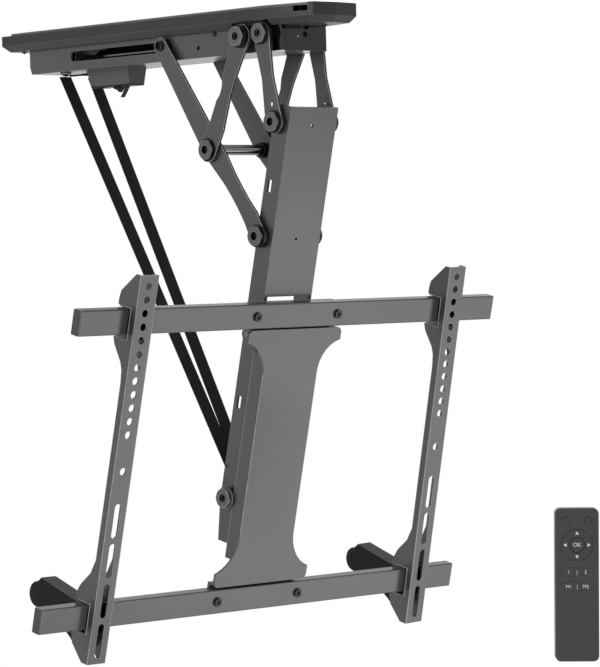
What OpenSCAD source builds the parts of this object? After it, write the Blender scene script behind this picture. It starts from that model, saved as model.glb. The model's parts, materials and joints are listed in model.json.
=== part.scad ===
/* [Pose] */
// Lean of the screen bracket out of the vertical, top to the front, in degrees
tilt = 14; // [10:0.5:16]

/* [Ceiling plate and cover] */
// Thickness of the ceiling plate
plate_t = 3; // [2:0.5:4]
// Distance of the ceiling bolts from the middle, across
ceiling_bolt_x = 20; // [18:1:24]
// Distance of the ceiling bolts from the ends of the ceiling plate
ceiling_bolt_inset = 12; // [11:0.5:14]
// Radius of a ceiling bolt hole
ceiling_hole_r = 4.5; // [3:0.25:5]
// Half of the width of the cover
cover_half = 50; // [49:0.5:53]
// Half of the length of the cover
cover_len = 262; // [260:1:266]
// Wall of the plastic cover
cover_wall = 2; // [1.5:0.25:2.5]
// Depth of the cover below the ceiling
cover_depth = 22; // [20:0.5:24]

/* [Rail] */
// Half of the outer width of the steel rail
rail_half = 35; // [34:0.5:36]
// Lowest face of the rail, below the ceiling
rail_depth = 50.5; // [49:0.5:53]
// Front face of the glossy end cap
cap_front = -209.3; // [-211:0.1:-208]
// Front end of the steel rail, where the end cap starts
rail_front = -194; // [-195:0.1:-193.5]
// Rear end of the rail
rail_rear = 227; // [225:0.1:228]
// Sheet thickness of the rail
rail_t = 2.5; // [2:0.25:3]
// Height of the long slot in each side of the rail
slot_h = 12; // [12:0.2:13]

/* [Linkage] */
// Thickness of the arm and link plates
link_t = 3; // [2.5:0.25:3]
// Radius of the main pivot rods
rod_r = 6; // [5:0.25:6.5]
// Radial clearance of a turning plate on its rod
rod_play = 0.05; // [0.02:0.01:0.1]
// Radius of the slider pins
slider_pin_r = 3.4; // [3:0.1:3.5]

/* [Column and bars] */
// Half of the outer width of the column
column_half = 37; // [36:0.5:38]
// Top of the column above the middle of the top bar
column_top = 233.8; // [230:0.5:238]
// Bottom of the column below the middle of the top bar
column_bottom = -270.4; // [-276:0.2:-266]
// Sheet thickness of the column and the centre plate
column_t = 3; // [2.5:0.25:3]
// Length of a screen bar, with its end caps
bar_len = 643.5; // [600:0.5:680]
// Height of a screen bar
bar_h = 28.5; // [27:0.5:29]
// Depth of a screen bar, front to rear
bar_d = 13; // [12:0.5:13.5]
// Distance between the two screen bars
bar_pitch = 330.8; // [326:0.2:334]

/* [Screen arms] */
// Distance of each screen arm from the middle
arm_x = 241.5; // [200:0.5:290]
// Outward splay of the left screen arm, in degrees
splay_left = 0.39; // [0:0.01:1.5]
// Outward splay of the right screen arm, in degrees
splay_right = 2.13; // [0:0.01:2.5]
// Width of a screen arm
arm_w = 26.5; // [24:0.5:28]
// Sheet thickness of a screen arm
arm_t = 2.5; // [2:0.25:2.5]
// Distance between the round holes of a screen arm
hole_pitch = 15; // [13:0.5:16]
// Diameter of the holes and slots of a screen arm
hole_d = 8.5; // [6:0.25:9]

/* [Straps] */
// Width of the flat safety straps
strap_w = 15.2; // [13:0.1:15.6]
// Thickness of a strap
strap_t = 1.8; // [1.4:0.1:2.4]

/* [Remote control] */
// Height of the remote control
remote_h = 172.4; // [165:0.2:180]
// Width of the remote control
remote_w = 49.2; // [47:0.2:54]
// Thickness of the remote control
remote_d = 18; // [16:0.5:22]
// Clearance round each key
key_play = 0.25; // [0.2:0.01:0.3]

/* [Hidden] */
$fn = 48;
over = 1;
seat_gap = 0.1;
clear = 0.3;
slice = 0.01;
tuck = 0.15;
full = 360;

// Height of the lower bar's middle, seen from the top bar's middle
lower = -bar_pitch;

column_origin = [0, -197, -349];
strap_foot_at = [41.5, -218.2];
pivot_b_at = [49.7, 83.5];
pivot_e_at = [49.7, 213.5];

pivot_a = [-16, -33];
pivot_c = [-156, -32];
pivot_d = [-184, -30];
pivot_m = [-96, -156];
pivot_b = column_point(pivot_b_at);
pivot_e = column_point(pivot_e_at);
strap_foot = column_point(strap_foot_at);

// Layers of the linkage, from the rail outwards
arm_in = 40;
arm_out = arm_in + link_t;
swing_in = 44.5;
swing_out = swing_in + link_t;
top_washer = 5;
tube_washer = 0.4;

// Hexagon heads of the pivots, with a round socket in each
cap_t = 4.4;
cap_r = 11.6;
cap_hex_r = 12.6;
cap_chamfer = 1.4;
socket_r = 4.8;
socket_depth = 3.4;
washer_r = 13;

slot_front = -27.9;
slot_rear = 151.7;
slot_z = pivot_a[1] - 1;

bar_front = 11.5;
bar_wall = 1.6;
bar_corner = 1.5;
end_cap_t = 1.8;
bar_bolt_x = 62.8;
bar_bolt_r = 3;

web_front = 31.4;
column_back = 56.5;

face_front = 10.5;
rear_flange = 24.8;

// A point of the leaning bracket, given as [depth, height], seen from the ceiling's middle
function column_point(p) = [
    column_origin[1] + p[0] * cos(tilt) - p[1] * sin(tilt),
    column_origin[2] + p[0] * sin(tilt) + p[1] * cos(tilt)];

function heading(a) = [cos(a), sin(a)];

// Points of a round corner about a centre, from one angle to another
function round_corner(c, r, a0, a1, n = 6) = [for (i = [0:n]) c + r * heading(a0 + (a1 - a0) * i / n)];

// The frame of the leaning bracket: x across, y to the rear, z up along the column
module on_column() {
    translate(column_origin) rotate([tilt, 0, 0]) children();
}

// A plate drawn as [depth, height] and standing between two distances across
module plate_x(x0, x1) {
    translate([x0, 0, 0]) rotate([90, 0, 90]) linear_extrude(x1 - x0) children();
}

// A plate drawn as [across, height] and standing between two depths
module plate_y(y0, y1) {
    translate([0, y1, 0]) rotate([90, 0, 0]) linear_extrude(y1 - y0) children();
}

// A rod across the mount at a point given as [depth, height]
module rod_x(p, r, x0, x1) {
    translate([x0, p[0], p[1]]) rotate([0, 90, 0]) cylinder(r = r, h = x1 - x0);
}

// A rod from front to rear at a point given as [across, height]
module rod_y(p, r, y0, y1) {
    translate([p[0], y0, p[1]]) rotate([-90, 0, 0]) cylinder(r = r, h = y1 - y0);
}

// An upright rod at a point given as [across, depth]
module rod_z(p, r, z0, z1) {
    translate([p[0], p[1], z0]) cylinder(r = r, h = z1 - z0);
}

module both_sides() {
    children();
    mirror([1, 0, 0]) children();
}

module block(low, high) {
    translate(low) cube(high - low);
}

// Flat outline of a bar that tapers from one round end to another
module tapered_bar(p, rp, q, rq) {
    turn = atan2(q[1] - p[1], q[0] - p[0]);
    lean = acos((rp - rq) / norm(q - p));
    near = rp - tuck;
    far = rq - tuck;
    translate(p) circle(rp);
    translate(q) circle(rq);
    polygon([p + near * heading(turn - lean), q + far * heading(turn - lean),
        q + far * heading(turn + lean), p + near * heading(turn + lean)]);
}

// Stations of a curved bar: each share gives the way along, the way aside and the half width
function bar_stations(p, rp, q, rq, shares) = concat([[p, rp]],
    [for (s = shares) [p + (q - p) * s[0] + [p[1] - q[1], q[0] - p[0]] * s[1], rp * s[2]]], [[q, rq]]);

// Flat outline of a curved bar between two round ends
module curved_bar(p, rp, q, rq, shares) {
    places = bar_stations(p, rp, q, rq, shares);
    for (k = [1:len(places) - 1])
        tapered_bar(places[k - 1][0], places[k - 1][1], places[k][0], places[k][1]);
}

// Rectangle with round corners, centred
module round_rect(w, h, r) {
    square([w - 2 * r, h], center = true);
    square([w, h - 2 * r], center = true);
    for (sx = [-1, 1], sy = [-1, 1]) translate([sx * (w / 2 - r), sy * (h / 2 - r)]) circle(r);
}

// Slot with round ends, centred, long along the first axis
module round_slot(w, h) {
    square([w - h, h], center = true);
    for (s = [-1, 1]) translate([s * (w - h) / 2, 0]) circle(h / 2);
}

// Ring shaped washer or spacer at a pivot
module ring_x(p, r, bore, x0, x1) {
    difference() {
        rod_x(p, r, x0, x1);
        rod_x(p, bore, x0 - over, x1 + over);
    }
}

// Hexagon head with a chamfered rim and a round socket in its outer face
module socket_cap(p, x0) {
    translate([x0, p[0], p[1]]) rotate([0, 90, 0]) difference() {
        intersection() {
            rotate(full / 12) cylinder(r = cap_hex_r, h = cap_t, $fn = 6);
            union() {
                cylinder(r = cap_r, h = cap_t - cap_chamfer);
                translate([0, 0, cap_t - cap_chamfer])
                    cylinder(r1 = cap_r, r2 = cap_r - cap_chamfer, h = cap_chamfer);
            }
        }
        translate([0, 0, cap_t - socket_depth]) cylinder(r = socket_r, h = socket_depth + over);
    }
}

// Ceiling plate
plate_half = 44;
plate_inset = 12;
plate_end = cover_len - plate_inset;
plate_nose = 31;
taper_len = 72;
taper_start = taper_len - cover_len;

module ceiling_plate() {
    color("#6b6f72") difference() {
        translate([0, 0, -plate_t]) linear_extrude(plate_t)
            polygon([[-plate_nose, -plate_end], [plate_nose, -plate_end], [plate_half, taper_start],
                [plate_half, plate_end], [-plate_half, plate_end], [-plate_half, taper_start]]);
        for (sx = [-1, 1], sy = [-1, 1])
            rod_z([sx * ceiling_bolt_x, sy * (plate_end - ceiling_bolt_inset)], ceiling_hole_r,
                -plate_t - over, over);
        for (p = rail_screw_places()) rod_z(p, rail_screw_r, -plate_t - over, over);
    }
}

// Screws that hold the rail's lips to the ceiling plate, and a pair in the rail's sides
rail_screw_r = 2.5;
rail_screw_x = 26;
rail_screw_step = 190;
rail_screw_shift = 8;
rail_screw_head_r = 4.5;
rail_screw_head = 3;
side_screw_at = [-100, -25];
side_screw_r = 1.75;
side_screw_head_r = 2.8;
side_screw_head = 1.6;
lip_w = 12;
lip_low = plate_t + rail_t;

function rail_screw_places() =
    [for (s = [-1, 1], k = [-1:1]) [s * rail_screw_x, k * rail_screw_step + rail_screw_shift]];

module rail_screws() {
    color("#8d9194") for (p = rail_screw_places()) {
        rod_z(p, rail_screw_r, -lip_low, 0);
        rod_z(p, rail_screw_head_r, -lip_low - rail_screw_head, -lip_low);
    }
    color("#3b3d3f") both_sides() {
        rod_x(side_screw_at, side_screw_r, rail_half - 2 * rail_t, rail_half);
        rod_x(side_screw_at, side_screw_head_r, rail_half, rail_half + side_screw_head);
    }
}

// Cover, in two halves that meet above the middle of the rail
cover_corner = 2.5;
cover_bevel = 7.2;
cover_low_side = cover_depth - cover_bevel;
cover_step = 2.7;
cover_top = 0.3;
cover_nose = 34;
cover_nose_back = 3.3;
cover_prow = 0.4;
cover_gap = 0.4;
cover_boss_r = 4;
rail_cut_h = 8;
notch_from = 10;
notch_len = 19;
notch_depth = 7;
cover_screw_insets = [38, 24];
cover_screw_front = [18, cover_screw_insets[0] - cover_len];
cover_screw_rear = [34, cover_len - cover_screw_insets[1]];
cover_screw_r = 1.75;
cover_screw_head_r = 3.2;
cover_screw_head = 2;
link_top_r = 14;
pivot_gap_x = swing_out + clear;
pivot_gap = link_top_r + over;

function nose_share() = 0.6;

// Plan of the cover, drawn in from its outer edge
module cover_plan(inset) {
    r = cover_corner * (1 - inset / plate_half);
    side = cover_half - inset;
    rear = cover_len - inset;
    nose = cover_nose - inset * nose_share();
    nose_y = inset + cover_nose_back - cover_len;
    polygon(concat([[-nose, nose_y], [0, inset - cover_len - cover_prow], [nose, nose_y]],
        [[side, taper_start]],
        round_corner([side - r, rear - r], r, 0, 90, 3), round_corner([r - side, rear - r], r, 90, 180, 3),
        [[-side, taper_start]]));
}

module cover_form(inset, low) {
    hull() {
        translate([0, 0, -cover_low_side]) linear_extrude(cover_low_side - cover_top) cover_plan(inset);
        translate([0, 0, -low]) linear_extrude(slice) cover_plan(inset + cover_bevel);
    }
}

function cover_screw_places() =
    [for (s = [-1, 1], p = [cover_screw_front, cover_screw_rear]) [s * p[0], p[1]]];

module cover_half_shell(side) {
    ring = rail_half + cover_gap;
    wide = cover_half + over;
    difference() {
        cover_form(0, cover_depth);
        difference() {
            cover_form(cover_wall, cover_depth - cover_wall);
            for (p = cover_screw_places()) rod_z(p, cover_boss_r, -cover_depth, -plate_t);
        }
        translate([0, 0, -cover_top - over]) linear_extrude(2 * over) cover_plan(cover_wall);
        block([-ring, cap_front - cover_gap, -cover_depth - over],
            [ring, rail_rear + cover_gap, rail_cut_h - cover_depth]);
        block([-wide, -plate_end, -cover_step - cover_top], [wide, cover_len + over, 0]);
        block([-cover_half, notch_from - cover_len, -notch_depth - cover_step],
            [-cover_nose, notch_from + notch_len - cover_len, 0]);
        block([-pivot_gap_x, pivot_d[0] - pivot_gap, -cover_depth - over],
            [pivot_gap_x, pivot_c[0] + pivot_gap, rail_cut_h - cover_depth]);
        for (p = cover_screw_places()) rod_z(p, cover_screw_r, -cover_depth - over, 0);
        mirror([side > 0 ? 1 : 0, 0, 0])
            block([0, -cover_len - 2 * over, -cover_depth - over], [wide, cover_len + over, over]);
    }
}

module cover_left() {
    color("#5d6063") cover_half_shell(-1);
}

module cover_right() {
    color("#5d6063") cover_half_shell(1);
}

module cover_screws() {
    color("#3b3d3f") for (p = cover_screw_places()) {
        rod_z(p, cover_screw_head_r, -cover_depth - cover_screw_head, -cover_depth);
        rod_z(p, cover_screw_r, -cover_depth, -plate_t);
    }
}

// Rail: a channel bent from one sheet, open above, with lips under the ceiling plate
rail_cut_y = 3.3;
rail_cut_z = 8;
rail_hole_at = [-72, -39];
rail_hole_r = 2.7;

// Side view of the rail, or of its hollow, which runs past its open ends
module rail_side(inset, past) {
    polygon([[rail_front - past, inset - rail_depth], [rail_rear - rail_cut_y - inset, inset - rail_depth],
        [rail_rear - inset, rail_cut_z - rail_depth], [rail_rear - inset, past - plate_t],
        [rail_front - past, past - plate_t]]);
}

module rail_channel() {
    inner = rail_half - rail_t;
    wide = rail_half + over;
    floor_low = -rail_depth - over;
    floor_high = over + rail_t - rail_depth;
    color("#55585b") difference() {
        union() {
            difference() {
                plate_x(-rail_half, rail_half) rail_side(0, 0);
                plate_x(-inner, inner) rail_side(rail_t, over);
            }
            for (s = [-1, 1]) block([s > 0 ? inner - lip_w : -inner, rail_front, -lip_low],
                [s > 0 ? inner : lip_w - inner, rail_rear - rail_t, -plate_t]);
        }
        plate_x(-wide, wide)
            translate([(slot_front + slot_rear) / 2, slot_z]) round_slot(slot_rear - slot_front, slot_h);
        for (p = [pivot_c, pivot_d]) rod_x(p, rod_r, -wide, wide);
        rod_x(rail_hole_at, rail_hole_r, -wide, wide);
        rod_x(side_screw_at, side_screw_r, -wide, wide);
        for (p = rail_screw_places()) rod_z(p, rail_screw_r, -lip_low - over, over - plate_t);
        rod_z([0, box_screw_y], box_screw_r, floor_low, floor_high);
        rod_z([lead_x, lead_rear], lead_r + clear, floor_low, floor_high);
        for (s = [-1, 1]) rod_z([s * knob_at[0], knob_at[1]], knob_screw_r, floor_low, floor_high);
    }
}

// Glossy cap on the rail's front end, with the status light and the power socket in it
cap_wall = 2;
cap_plug = 2.6;
led_at = [-9.5, -34.5];
led_r = 1.6;
led_rim = 0.8;
led_len = 8;
jack_at = [1.5, -32];
jack_r = 3.6;
jack_wall = 1;
jack_half = 5;
jack_depth = 12;
jack_floor = 3;

module rail_end_cap() {
    inner = rail_half - rail_t - seat_gap;
    low = rail_t + seat_gap - rail_depth;
    high = -lip_low - seat_gap;
    front = cap_front + cap_wall;
    color("#101112") difference() {
        union() {
            block([-rail_half, cap_front, -rail_depth], [rail_half, rail_front, -plate_t]);
            block([-inner, rail_front - over, low], [inner, rail_front + cap_plug, high]);
        }
        block([cap_wall - inner, front, low + cap_wall],
            [inner - cap_wall, rail_front + cap_plug + over, high - cap_wall]);
        rod_y(led_at, led_r, cap_front - over, front + over);
        rod_y(jack_at, jack_r, cap_front - over, front + over);
    }
}

module status_led() {
    front = cap_front + cap_wall;
    color("#c0203c") {
        rod_y(led_at, led_r, cap_front, cap_front + led_len);
        rod_y(led_at, led_r + led_rim, front, front + led_rim);
    }
}

module power_socket() {
    front = cap_front + cap_wall;
    rear = front + jack_depth;
    color("#1c1c1e") difference() {
        union() {
            rod_y(jack_at, jack_r, cap_front, rear);
            block([jack_at[0] - jack_half, front, jack_at[1] - jack_half],
                [jack_at[0] + jack_half, rear, jack_at[1] + jack_half]);
        }
        rod_y(jack_at, jack_r - jack_wall, cap_front - over, rear - jack_floor);
    }
    color("#b9bcc0") rod_y(jack_at, jack_wall, cap_front + jack_wall, rear - jack_floor);
}

// Screw drive inside the rail
screw_r = 8;
screw_bite = 6;
screw_end = 134;
screw_collar = 3;
journal_r = 3.2;
bearing_gap = 2;
bearing_w = 10;
bearing_half = 26;
drive_top = 12;
motor_r = 14.5;
motor_lift = 2;
motor_front = -140;
motor_rear = -86;
motor_boss_r = 5;
motor_boss = 3;
motor_shaft_r = 3;
cradle_half = 12;
cradle_inset = 5;
gear_gap = 2;
gear_len = 28;
gear_half = 30;
gear_front = motor_rear + gear_gap;
gear_rear = gear_front + gear_len;
rail_floor = rail_t - rail_depth;

module drive_motor() {
    axis = slot_z + motor_lift;
    color("#3c3e40") {
        rod_y([0, axis], motor_r, motor_front, motor_rear);
        rod_y([0, axis], motor_boss_r, motor_front - motor_boss, motor_front);
        block([-cradle_half, motor_front + cradle_inset, rail_floor],
            [cradle_half, motor_rear - cradle_inset, axis + cradle_inset - motor_r]);
        rod_y([0, slot_z], motor_shaft_r, motor_rear, gear_front);
    }
}

module gearbox() {
    color("#a7abae") difference() {
        block([-gear_half, gear_front, rail_floor], [gear_half, gear_rear, -drive_top]);
        rod_y([0, slot_z], screw_r, gear_rear - screw_bite, gear_rear + over);
    }
}

module lead_screw() {
    color("#c9ccd0") {
        rod_y([0, slot_z], screw_r, gear_rear - screw_bite, screw_end);
        translate([0, screw_end, slot_z]) sphere(r = screw_r);
        rod_y([0, slot_z], journal_r, screw_end, slot_rear + bearing_gap + bearing_w);
        rod_y([0, slot_z], screw_r + screw_collar, gear_rear, gear_rear + screw_collar);
    }
}

module screw_bearing() {
    front = slot_rear + bearing_gap;
    color("#8f9396") difference() {
        block([-bearing_half, front, rail_floor], [bearing_half, front + bearing_w, -drive_top]);
        rod_y([0, slot_z], journal_r, front - over, front + bearing_w + over);
    }
}

// Control box under the rail, its screw, its lead and the clip on its lid
box_front = 74;
box_rear = 146.7;
box_half = 15.5;
box_bottom = 71.5;
box_foot_front = 75;
box_foot_rear = 141;
box_foot_half = 12.2;
box_wall = 2.2;
box_lid_t = 2;
box_screw_r = 2;
box_screw_head_r = 4;
box_screw_head = 2;
box_screw_y = 110;
lead_x = -8;
lead_z = -54;
lead_r = 1.1;
lead_rear = 185;
lead_end = 3;
relief_r = 2.2;
relief_len = 19;
clip_x = -5;
clip_w = 5;
clip_drop = 13;
clip_shares = [[0.16, 0], [0.303, 1], [0.344, 1], [0.2, 0]];
hook_shares = [[0.275, 0], [0.316, 0.27], [0.371, 0.54], [0.426, 0.31], [0.495, 0.19], [0.523, 0]];

module control_box() {
    low = box_lid_t - box_bottom;
    roof = -rail_depth - box_wall;
    color("#55585b") difference() {
        intersection() {
            plate_x(-box_half, box_half)
                polygon([[box_foot_front, low], [box_foot_rear, low], [box_rear, -rail_depth],
                    [box_front, -rail_depth]]);
            plate_y(box_front, box_rear)
                polygon([[-box_foot_half, low], [box_foot_half, low], [box_half, -rail_depth],
                    [-box_half, -rail_depth]]);
        }
        block([box_wall - box_foot_half, box_foot_front + box_wall, low - over],
            [box_foot_half - box_wall, box_foot_rear - box_wall, roof]);
        rod_z([0, box_screw_y], box_screw_r, roof - over, over - rail_depth);
        rod_y([lead_x, lead_z], relief_r, box_foot_rear - box_wall - over, box_rear + over);
    }
    color("#8d9194") {
        rod_z([0, box_screw_y], box_screw_r, roof, rail_floor);
        rod_z([0, box_screw_y], box_screw_head_r, roof - box_screw_head, roof);
    }
    color("#151617") {
        rod_y([lead_x, lead_z], relief_r, box_foot_rear - box_wall, box_rear);
        translate([lead_x, box_rear, lead_z]) rotate([-90, 0, 0])
            cylinder(r1 = relief_r, r2 = lead_r, h = relief_len);
        rod_y([lead_x, lead_z], lead_r, box_rear + relief_len, lead_rear);
        translate([lead_x, lead_rear, lead_z]) sphere(r = lead_r);
        rod_z([lead_x, lead_rear], lead_r, lead_z, rail_floor + lead_end);
    }
}

module control_box_lid() {
    length = box_rear - box_front;
    color("#26282a") {
        block([-box_foot_half, box_foot_front, -box_bottom],
            [box_foot_half, box_foot_rear, box_lid_t - box_bottom]);
        for (shares = [clip_shares, hook_shares]) plate_x(clip_x, clip_x + clip_w)
            polygon([for (s = shares) [box_front + s[0] * length, -box_bottom - s[1] * clip_drop]]);
    }
}

// Knobs under the rail that hold the tops of the straps
knob_at = [21, 178];
knob_r = 6.5;
knob_rim = 1.6;
knob_dome = 3.4;
knob_h = knob_rim + knob_dome;
knob_dome_r = (knob_r * knob_r + knob_dome * knob_dome) / (2 * knob_dome);
knob_screw_r = 2.2;
knob_nut_r = 4.5;
knob_nut_t = 3;

module strap_knobs() {
    color("#b9bcc0") both_sides() translate([knob_at[0], knob_at[1], -rail_depth]) {
        translate([0, 0, -knob_rim]) cylinder(r = knob_r, h = knob_rim);
        intersection() {
            translate([0, 0, knob_dome_r - knob_h]) sphere(r = knob_dome_r);
            translate([0, 0, -knob_h - over]) cylinder(r = knob_r + over, h = knob_dome + over);
        }
        cylinder(r = knob_screw_r, h = rail_t);
        translate([0, 0, rail_t]) cylinder(r = knob_nut_r, h = knob_nut_t, $fn = 6);
    }
}

// Flat straps from the knobs under the rail to the sleeve at the foot of the column
strap_foot_x = 8;
sleeve_r = 6.8;
strap_start = [knob_at[1] - clear, -rail_depth - knob_h - clear - strap_t / 4];
strap_turn = atan2(strap_start[1] - strap_foot[1], strap_start[0] - strap_foot[0]);
strap_end = strap_foot + (sleeve_r + clear + strap_t / 2) * heading(strap_turn - 90);

module strap(side) {
    hull() {
        translate([side * knob_at[0], strap_start[0], strap_start[1]]) strap_cut();
        translate([side * strap_foot_x, strap_end[0], strap_end[1]]) strap_cut();
    }
}

module strap_cut() {
    rotate([strap_turn, 0, 0]) cube([strap_w, slice, strap_t], center = true);
}

module strap_left() {
    color("#232425") strap(-1);
}

module strap_right() {
    color("#232425") strap(1);
}

// Rods through the rail that carry the swing links and the stay links
module rail_axles() {
    end_c = swing_out + top_washer;
    color("#9da1a4") {
        rod_x(pivot_c, rod_r, -end_c, end_c);
        rod_x(pivot_d, rod_r, -swing_in, swing_in);
    }
}

module rail_axle_caps() {
    color("#6e7174") both_sides() {
        socket_cap(pivot_c, swing_out + top_washer);
        socket_cap(pivot_d, swing_in);
    }
}

module rail_axle_washers() {
    color("#1b1c1d") both_sides() {
        ring_x(pivot_c, washer_r, rod_r, rail_half, swing_in - seat_gap);
        ring_x(pivot_c, washer_r, rod_r, swing_out + seat_gap, swing_out + top_washer);
        ring_x(pivot_d, washer_r, rod_r, rail_half, arm_in - seat_gap);
        ring_x(pivot_d, washer_r, rod_r, arm_out + seat_gap, swing_in);
    }
}

// Slider that the screw drives along the rail
slider_side_gap = 1;
slider_half_x = rail_half - rail_t - slider_side_gap;
slider_half_y = 14;
slider_low = 11.5;
slider_high = 15.5;
slider_pin_root = 16;
slider_head_r = 6;
slider_head = 3;
slider_socket_r = 4.4;
slider_socket = 2;
slider_washer_r = 8;
slide_gap = 0.5;
nut_r = 12.4;
nut_bore = 10.8;
nut_flange = 4;

module slider_block() {
    color("#7f8386") difference() {
        translate([0, pivot_a[0], pivot_a[1]])
            block([-slider_half_x, -slider_half_y, -slider_low],
                [slider_half_x, slider_half_y, slider_high]);
        rod_y([0, pivot_a[1]], nut_r, pivot_a[0] - slider_half_y - over, pivot_a[0] + slider_half_y + over);
        both_sides() rod_x(pivot_a, slider_pin_r, slider_pin_root, slider_half_x + over);
    }
}

module slider_nut() {
    front = pivot_a[0] - slider_half_y;
    rear = pivot_a[0] + slider_half_y + nut_flange;
    color("#b08d4b") difference() {
        rod_y([0, pivot_a[1]], nut_r, front, rear);
        rod_y([0, pivot_a[1]], nut_bore, front - over, rear + over);
    }
}

module slider_pins() {
    outer = arm_out + slider_head;
    color("#8d9194") both_sides() difference() {
        union() {
            rod_x(pivot_a, slider_pin_r, slider_pin_root, outer);
            rod_x(pivot_a, slider_head_r, arm_out + seat_gap, outer);
            rod_x(pivot_a, slider_washer_r, rail_half + slide_gap, arm_in - seat_gap);
        }
        rod_x(pivot_a, slider_socket_r, outer - slider_socket, outer + over);
    }
}

// Curved drive arms, from the slider past the cross tube to the column
arm_knee = [-98, -154.6];
arm_eye_r = 10.2;
arm_knee_r = 14.5;
arm_foot_r = 12.5;
arm_shares = [[0.15, -0.013, 0.93], [0.36, -0.019, 0.73], [0.5, -0.022, 0.69],
    [0.655, -0.023, 0.7], [0.81, -0.026, 0.8]];

module drive_arm() {
    difference() {
        plate_x(arm_in, arm_out) {
            tapered_bar(pivot_a, arm_eye_r, arm_knee, arm_knee_r);
            curved_bar(arm_knee, arm_knee_r, pivot_b, arm_foot_r, arm_shares);
        }
        rod_x(pivot_a, slider_pin_r + rod_play, arm_in - over, arm_out + over);
        rod_x(pivot_m, rod_r + rod_play, arm_in - over, arm_out + over);
        rod_x(pivot_b, rod_r, arm_in - over, arm_out + over);
    }
}

module drive_arm_left() {
    color("#505356") mirror([1, 0, 0]) drive_arm();
}

module drive_arm_right() {
    color("#505356") drive_arm();
}

module column_pin() {
    color("#9da1a4") rod_x(pivot_b, rod_r, -swing_in, swing_in);
}

module column_pin_caps() {
    color("#6e7174") both_sides() socket_cap(pivot_b, swing_in);
}

module column_pin_washers() {
    color("#1b1c1d") both_sides() {
        ring_x(pivot_b, washer_r, rod_r, column_half + seat_gap, arm_in);
        ring_x(pivot_b, washer_r, rod_r, arm_out, swing_in);
    }
}

// Swing links, from the rail to the cross tube
link_shares = [[0.37, 0, 0.735], [0.465, -0.015, 0.615], [0.545, -0.017, 0.635],
    [0.6, -0.012, 0.755], [0.79, -0.022, 0.88]];

module swing_link() {
    difference() {
        plate_x(swing_in, swing_out) curved_bar(pivot_c, link_top_r, pivot_m, link_top_r, link_shares);
        rod_x(pivot_c, rod_r + rod_play, swing_in - over, swing_out + over);
        rod_x(pivot_m, rod_r, swing_in - over, swing_out + over);
    }
}

module swing_link_left() {
    color("#505356") mirror([1, 0, 0]) swing_link();
}

module swing_link_right() {
    color("#505356") swing_link();
}

tube_collar_r = 9;
tube_collar = 6;

module cross_tube() {
    outer = swing_out + tube_washer;
    color("#9da1a4") rod_x(pivot_m, rod_r, -outer, outer);
}

module cross_tube_caps() {
    color("#6e7174") both_sides() socket_cap(pivot_m, swing_out + tube_washer);
}

module cross_tube_washers() {
    color("#1b1c1d") both_sides() {
        ring_x(pivot_m, tube_collar_r, rod_r, arm_in - tube_collar, arm_in - seat_gap);
        ring_x(pivot_m, washer_r, rod_r, arm_out + seat_gap, swing_in);
        ring_x(pivot_m, washer_r, rod_r, swing_out, swing_out + tube_washer);
    }
}

// Stay links, from the rail to the top of the column
stay_top_r = 13;
stay_waist_r = 9;
stay_foot_r = 13.5;
stay_hole = 20;
stay_hole_r = 2.6;

module stay_link() {
    along = (pivot_d - pivot_e) / norm(pivot_d - pivot_e);
    middle = (pivot_d + pivot_e) / 2;
    difference() {
        plate_x(arm_in, arm_out) {
            tapered_bar(pivot_d, stay_top_r, middle, stay_waist_r);
            tapered_bar(middle, stay_waist_r, pivot_e, stay_foot_r);
        }
        rod_x(pivot_d, rod_r + rod_play, arm_in - over, arm_out + over);
        rod_x(pivot_e, rod_r, arm_in - over, arm_out + over);
        rod_x(pivot_e + along * stay_hole, stay_hole_r, arm_in - over, arm_out + over);
    }
}

module stay_link_left() {
    color("#505356") mirror([1, 0, 0]) stay_link();
}

module stay_link_right() {
    color("#505356") stay_link();
}

module stay_bolts() {
    color("#6e7174") both_sides() {
        socket_cap(pivot_e, swing_in);
        rod_x(pivot_e, rod_r, column_half + clear, swing_in);
    }
}

module stay_washers() {
    color("#1b1c1d") both_sides() {
        ring_x(pivot_e, washer_r, rod_r, column_half + clear, arm_in);
        ring_x(pivot_e, washer_r, rod_r, arm_out, swing_in);
    }
}

// Column, a channel open to the rear, with ears for a cross pin
column_taper = 45;
column_foot_back = 50.7;
ear_at = [51.5, -30];
ear_r = 7.5;
cross_pin_r = 3.2;
side_slot_places = [[48.3, 140.9], [48.3, -108.2]];
side_slot_w = 6;
side_slot_h = 14.5;
side_slot_r = 1.3;
side_hole_at = [53.5, -184];
side_hole_r = 1.7;
window_half = 32;
window_low = 8;
window_high = 17.5;
web_hole_places = [213, 83.5];
web_hole_r = 2;

module column_channel() {
    inner = column_half - column_t;
    wide = column_half + over;
    web_rear = web_front + column_t;
    color("#585b5e") on_column() difference() {
        plate_x(-column_half, column_half) {
            polygon([[web_front, column_bottom], [column_foot_back, column_bottom],
                [column_back, column_bottom + column_taper], [column_back, column_top],
                [web_front, column_top]]);
            translate(ear_at) circle(ear_r);
        }
        block([-inner, web_rear, column_bottom - over], [inner, column_back + ear_r, column_top + over]);
        block([-window_half, web_front - over, window_low], [window_half, web_rear + over, window_high]);
        rod_x(pivot_b_at, rod_r + rod_play, -wide, wide);
        rod_x(strap_foot_at, strap_bolt_r, -wide, wide);
        rod_x(ear_at, cross_pin_r, -wide, wide);
        rod_x(side_hole_at, side_hole_r, -wide, wide);
        for (p = side_slot_places) plate_x(-wide, wide)
            translate(p) round_rect(side_slot_w, side_slot_h, side_slot_r);
        for (p = column_bolt_places()) rod_y(p, column_bolt_r, web_front - over, web_rear + over);
        for (w = web_hole_places) rod_y([0, w], web_hole_r, web_front - over, web_rear + over);
    }
}

// Bolts that join the centre plate to the column, and the pin through the column's ears
column_bolt_r = 3;
column_bolt_x = 27;
column_bolt_gaps = [90.8, 130.8];
column_bolt_head_r = 5.2;
column_bolt_head = 3;

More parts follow.
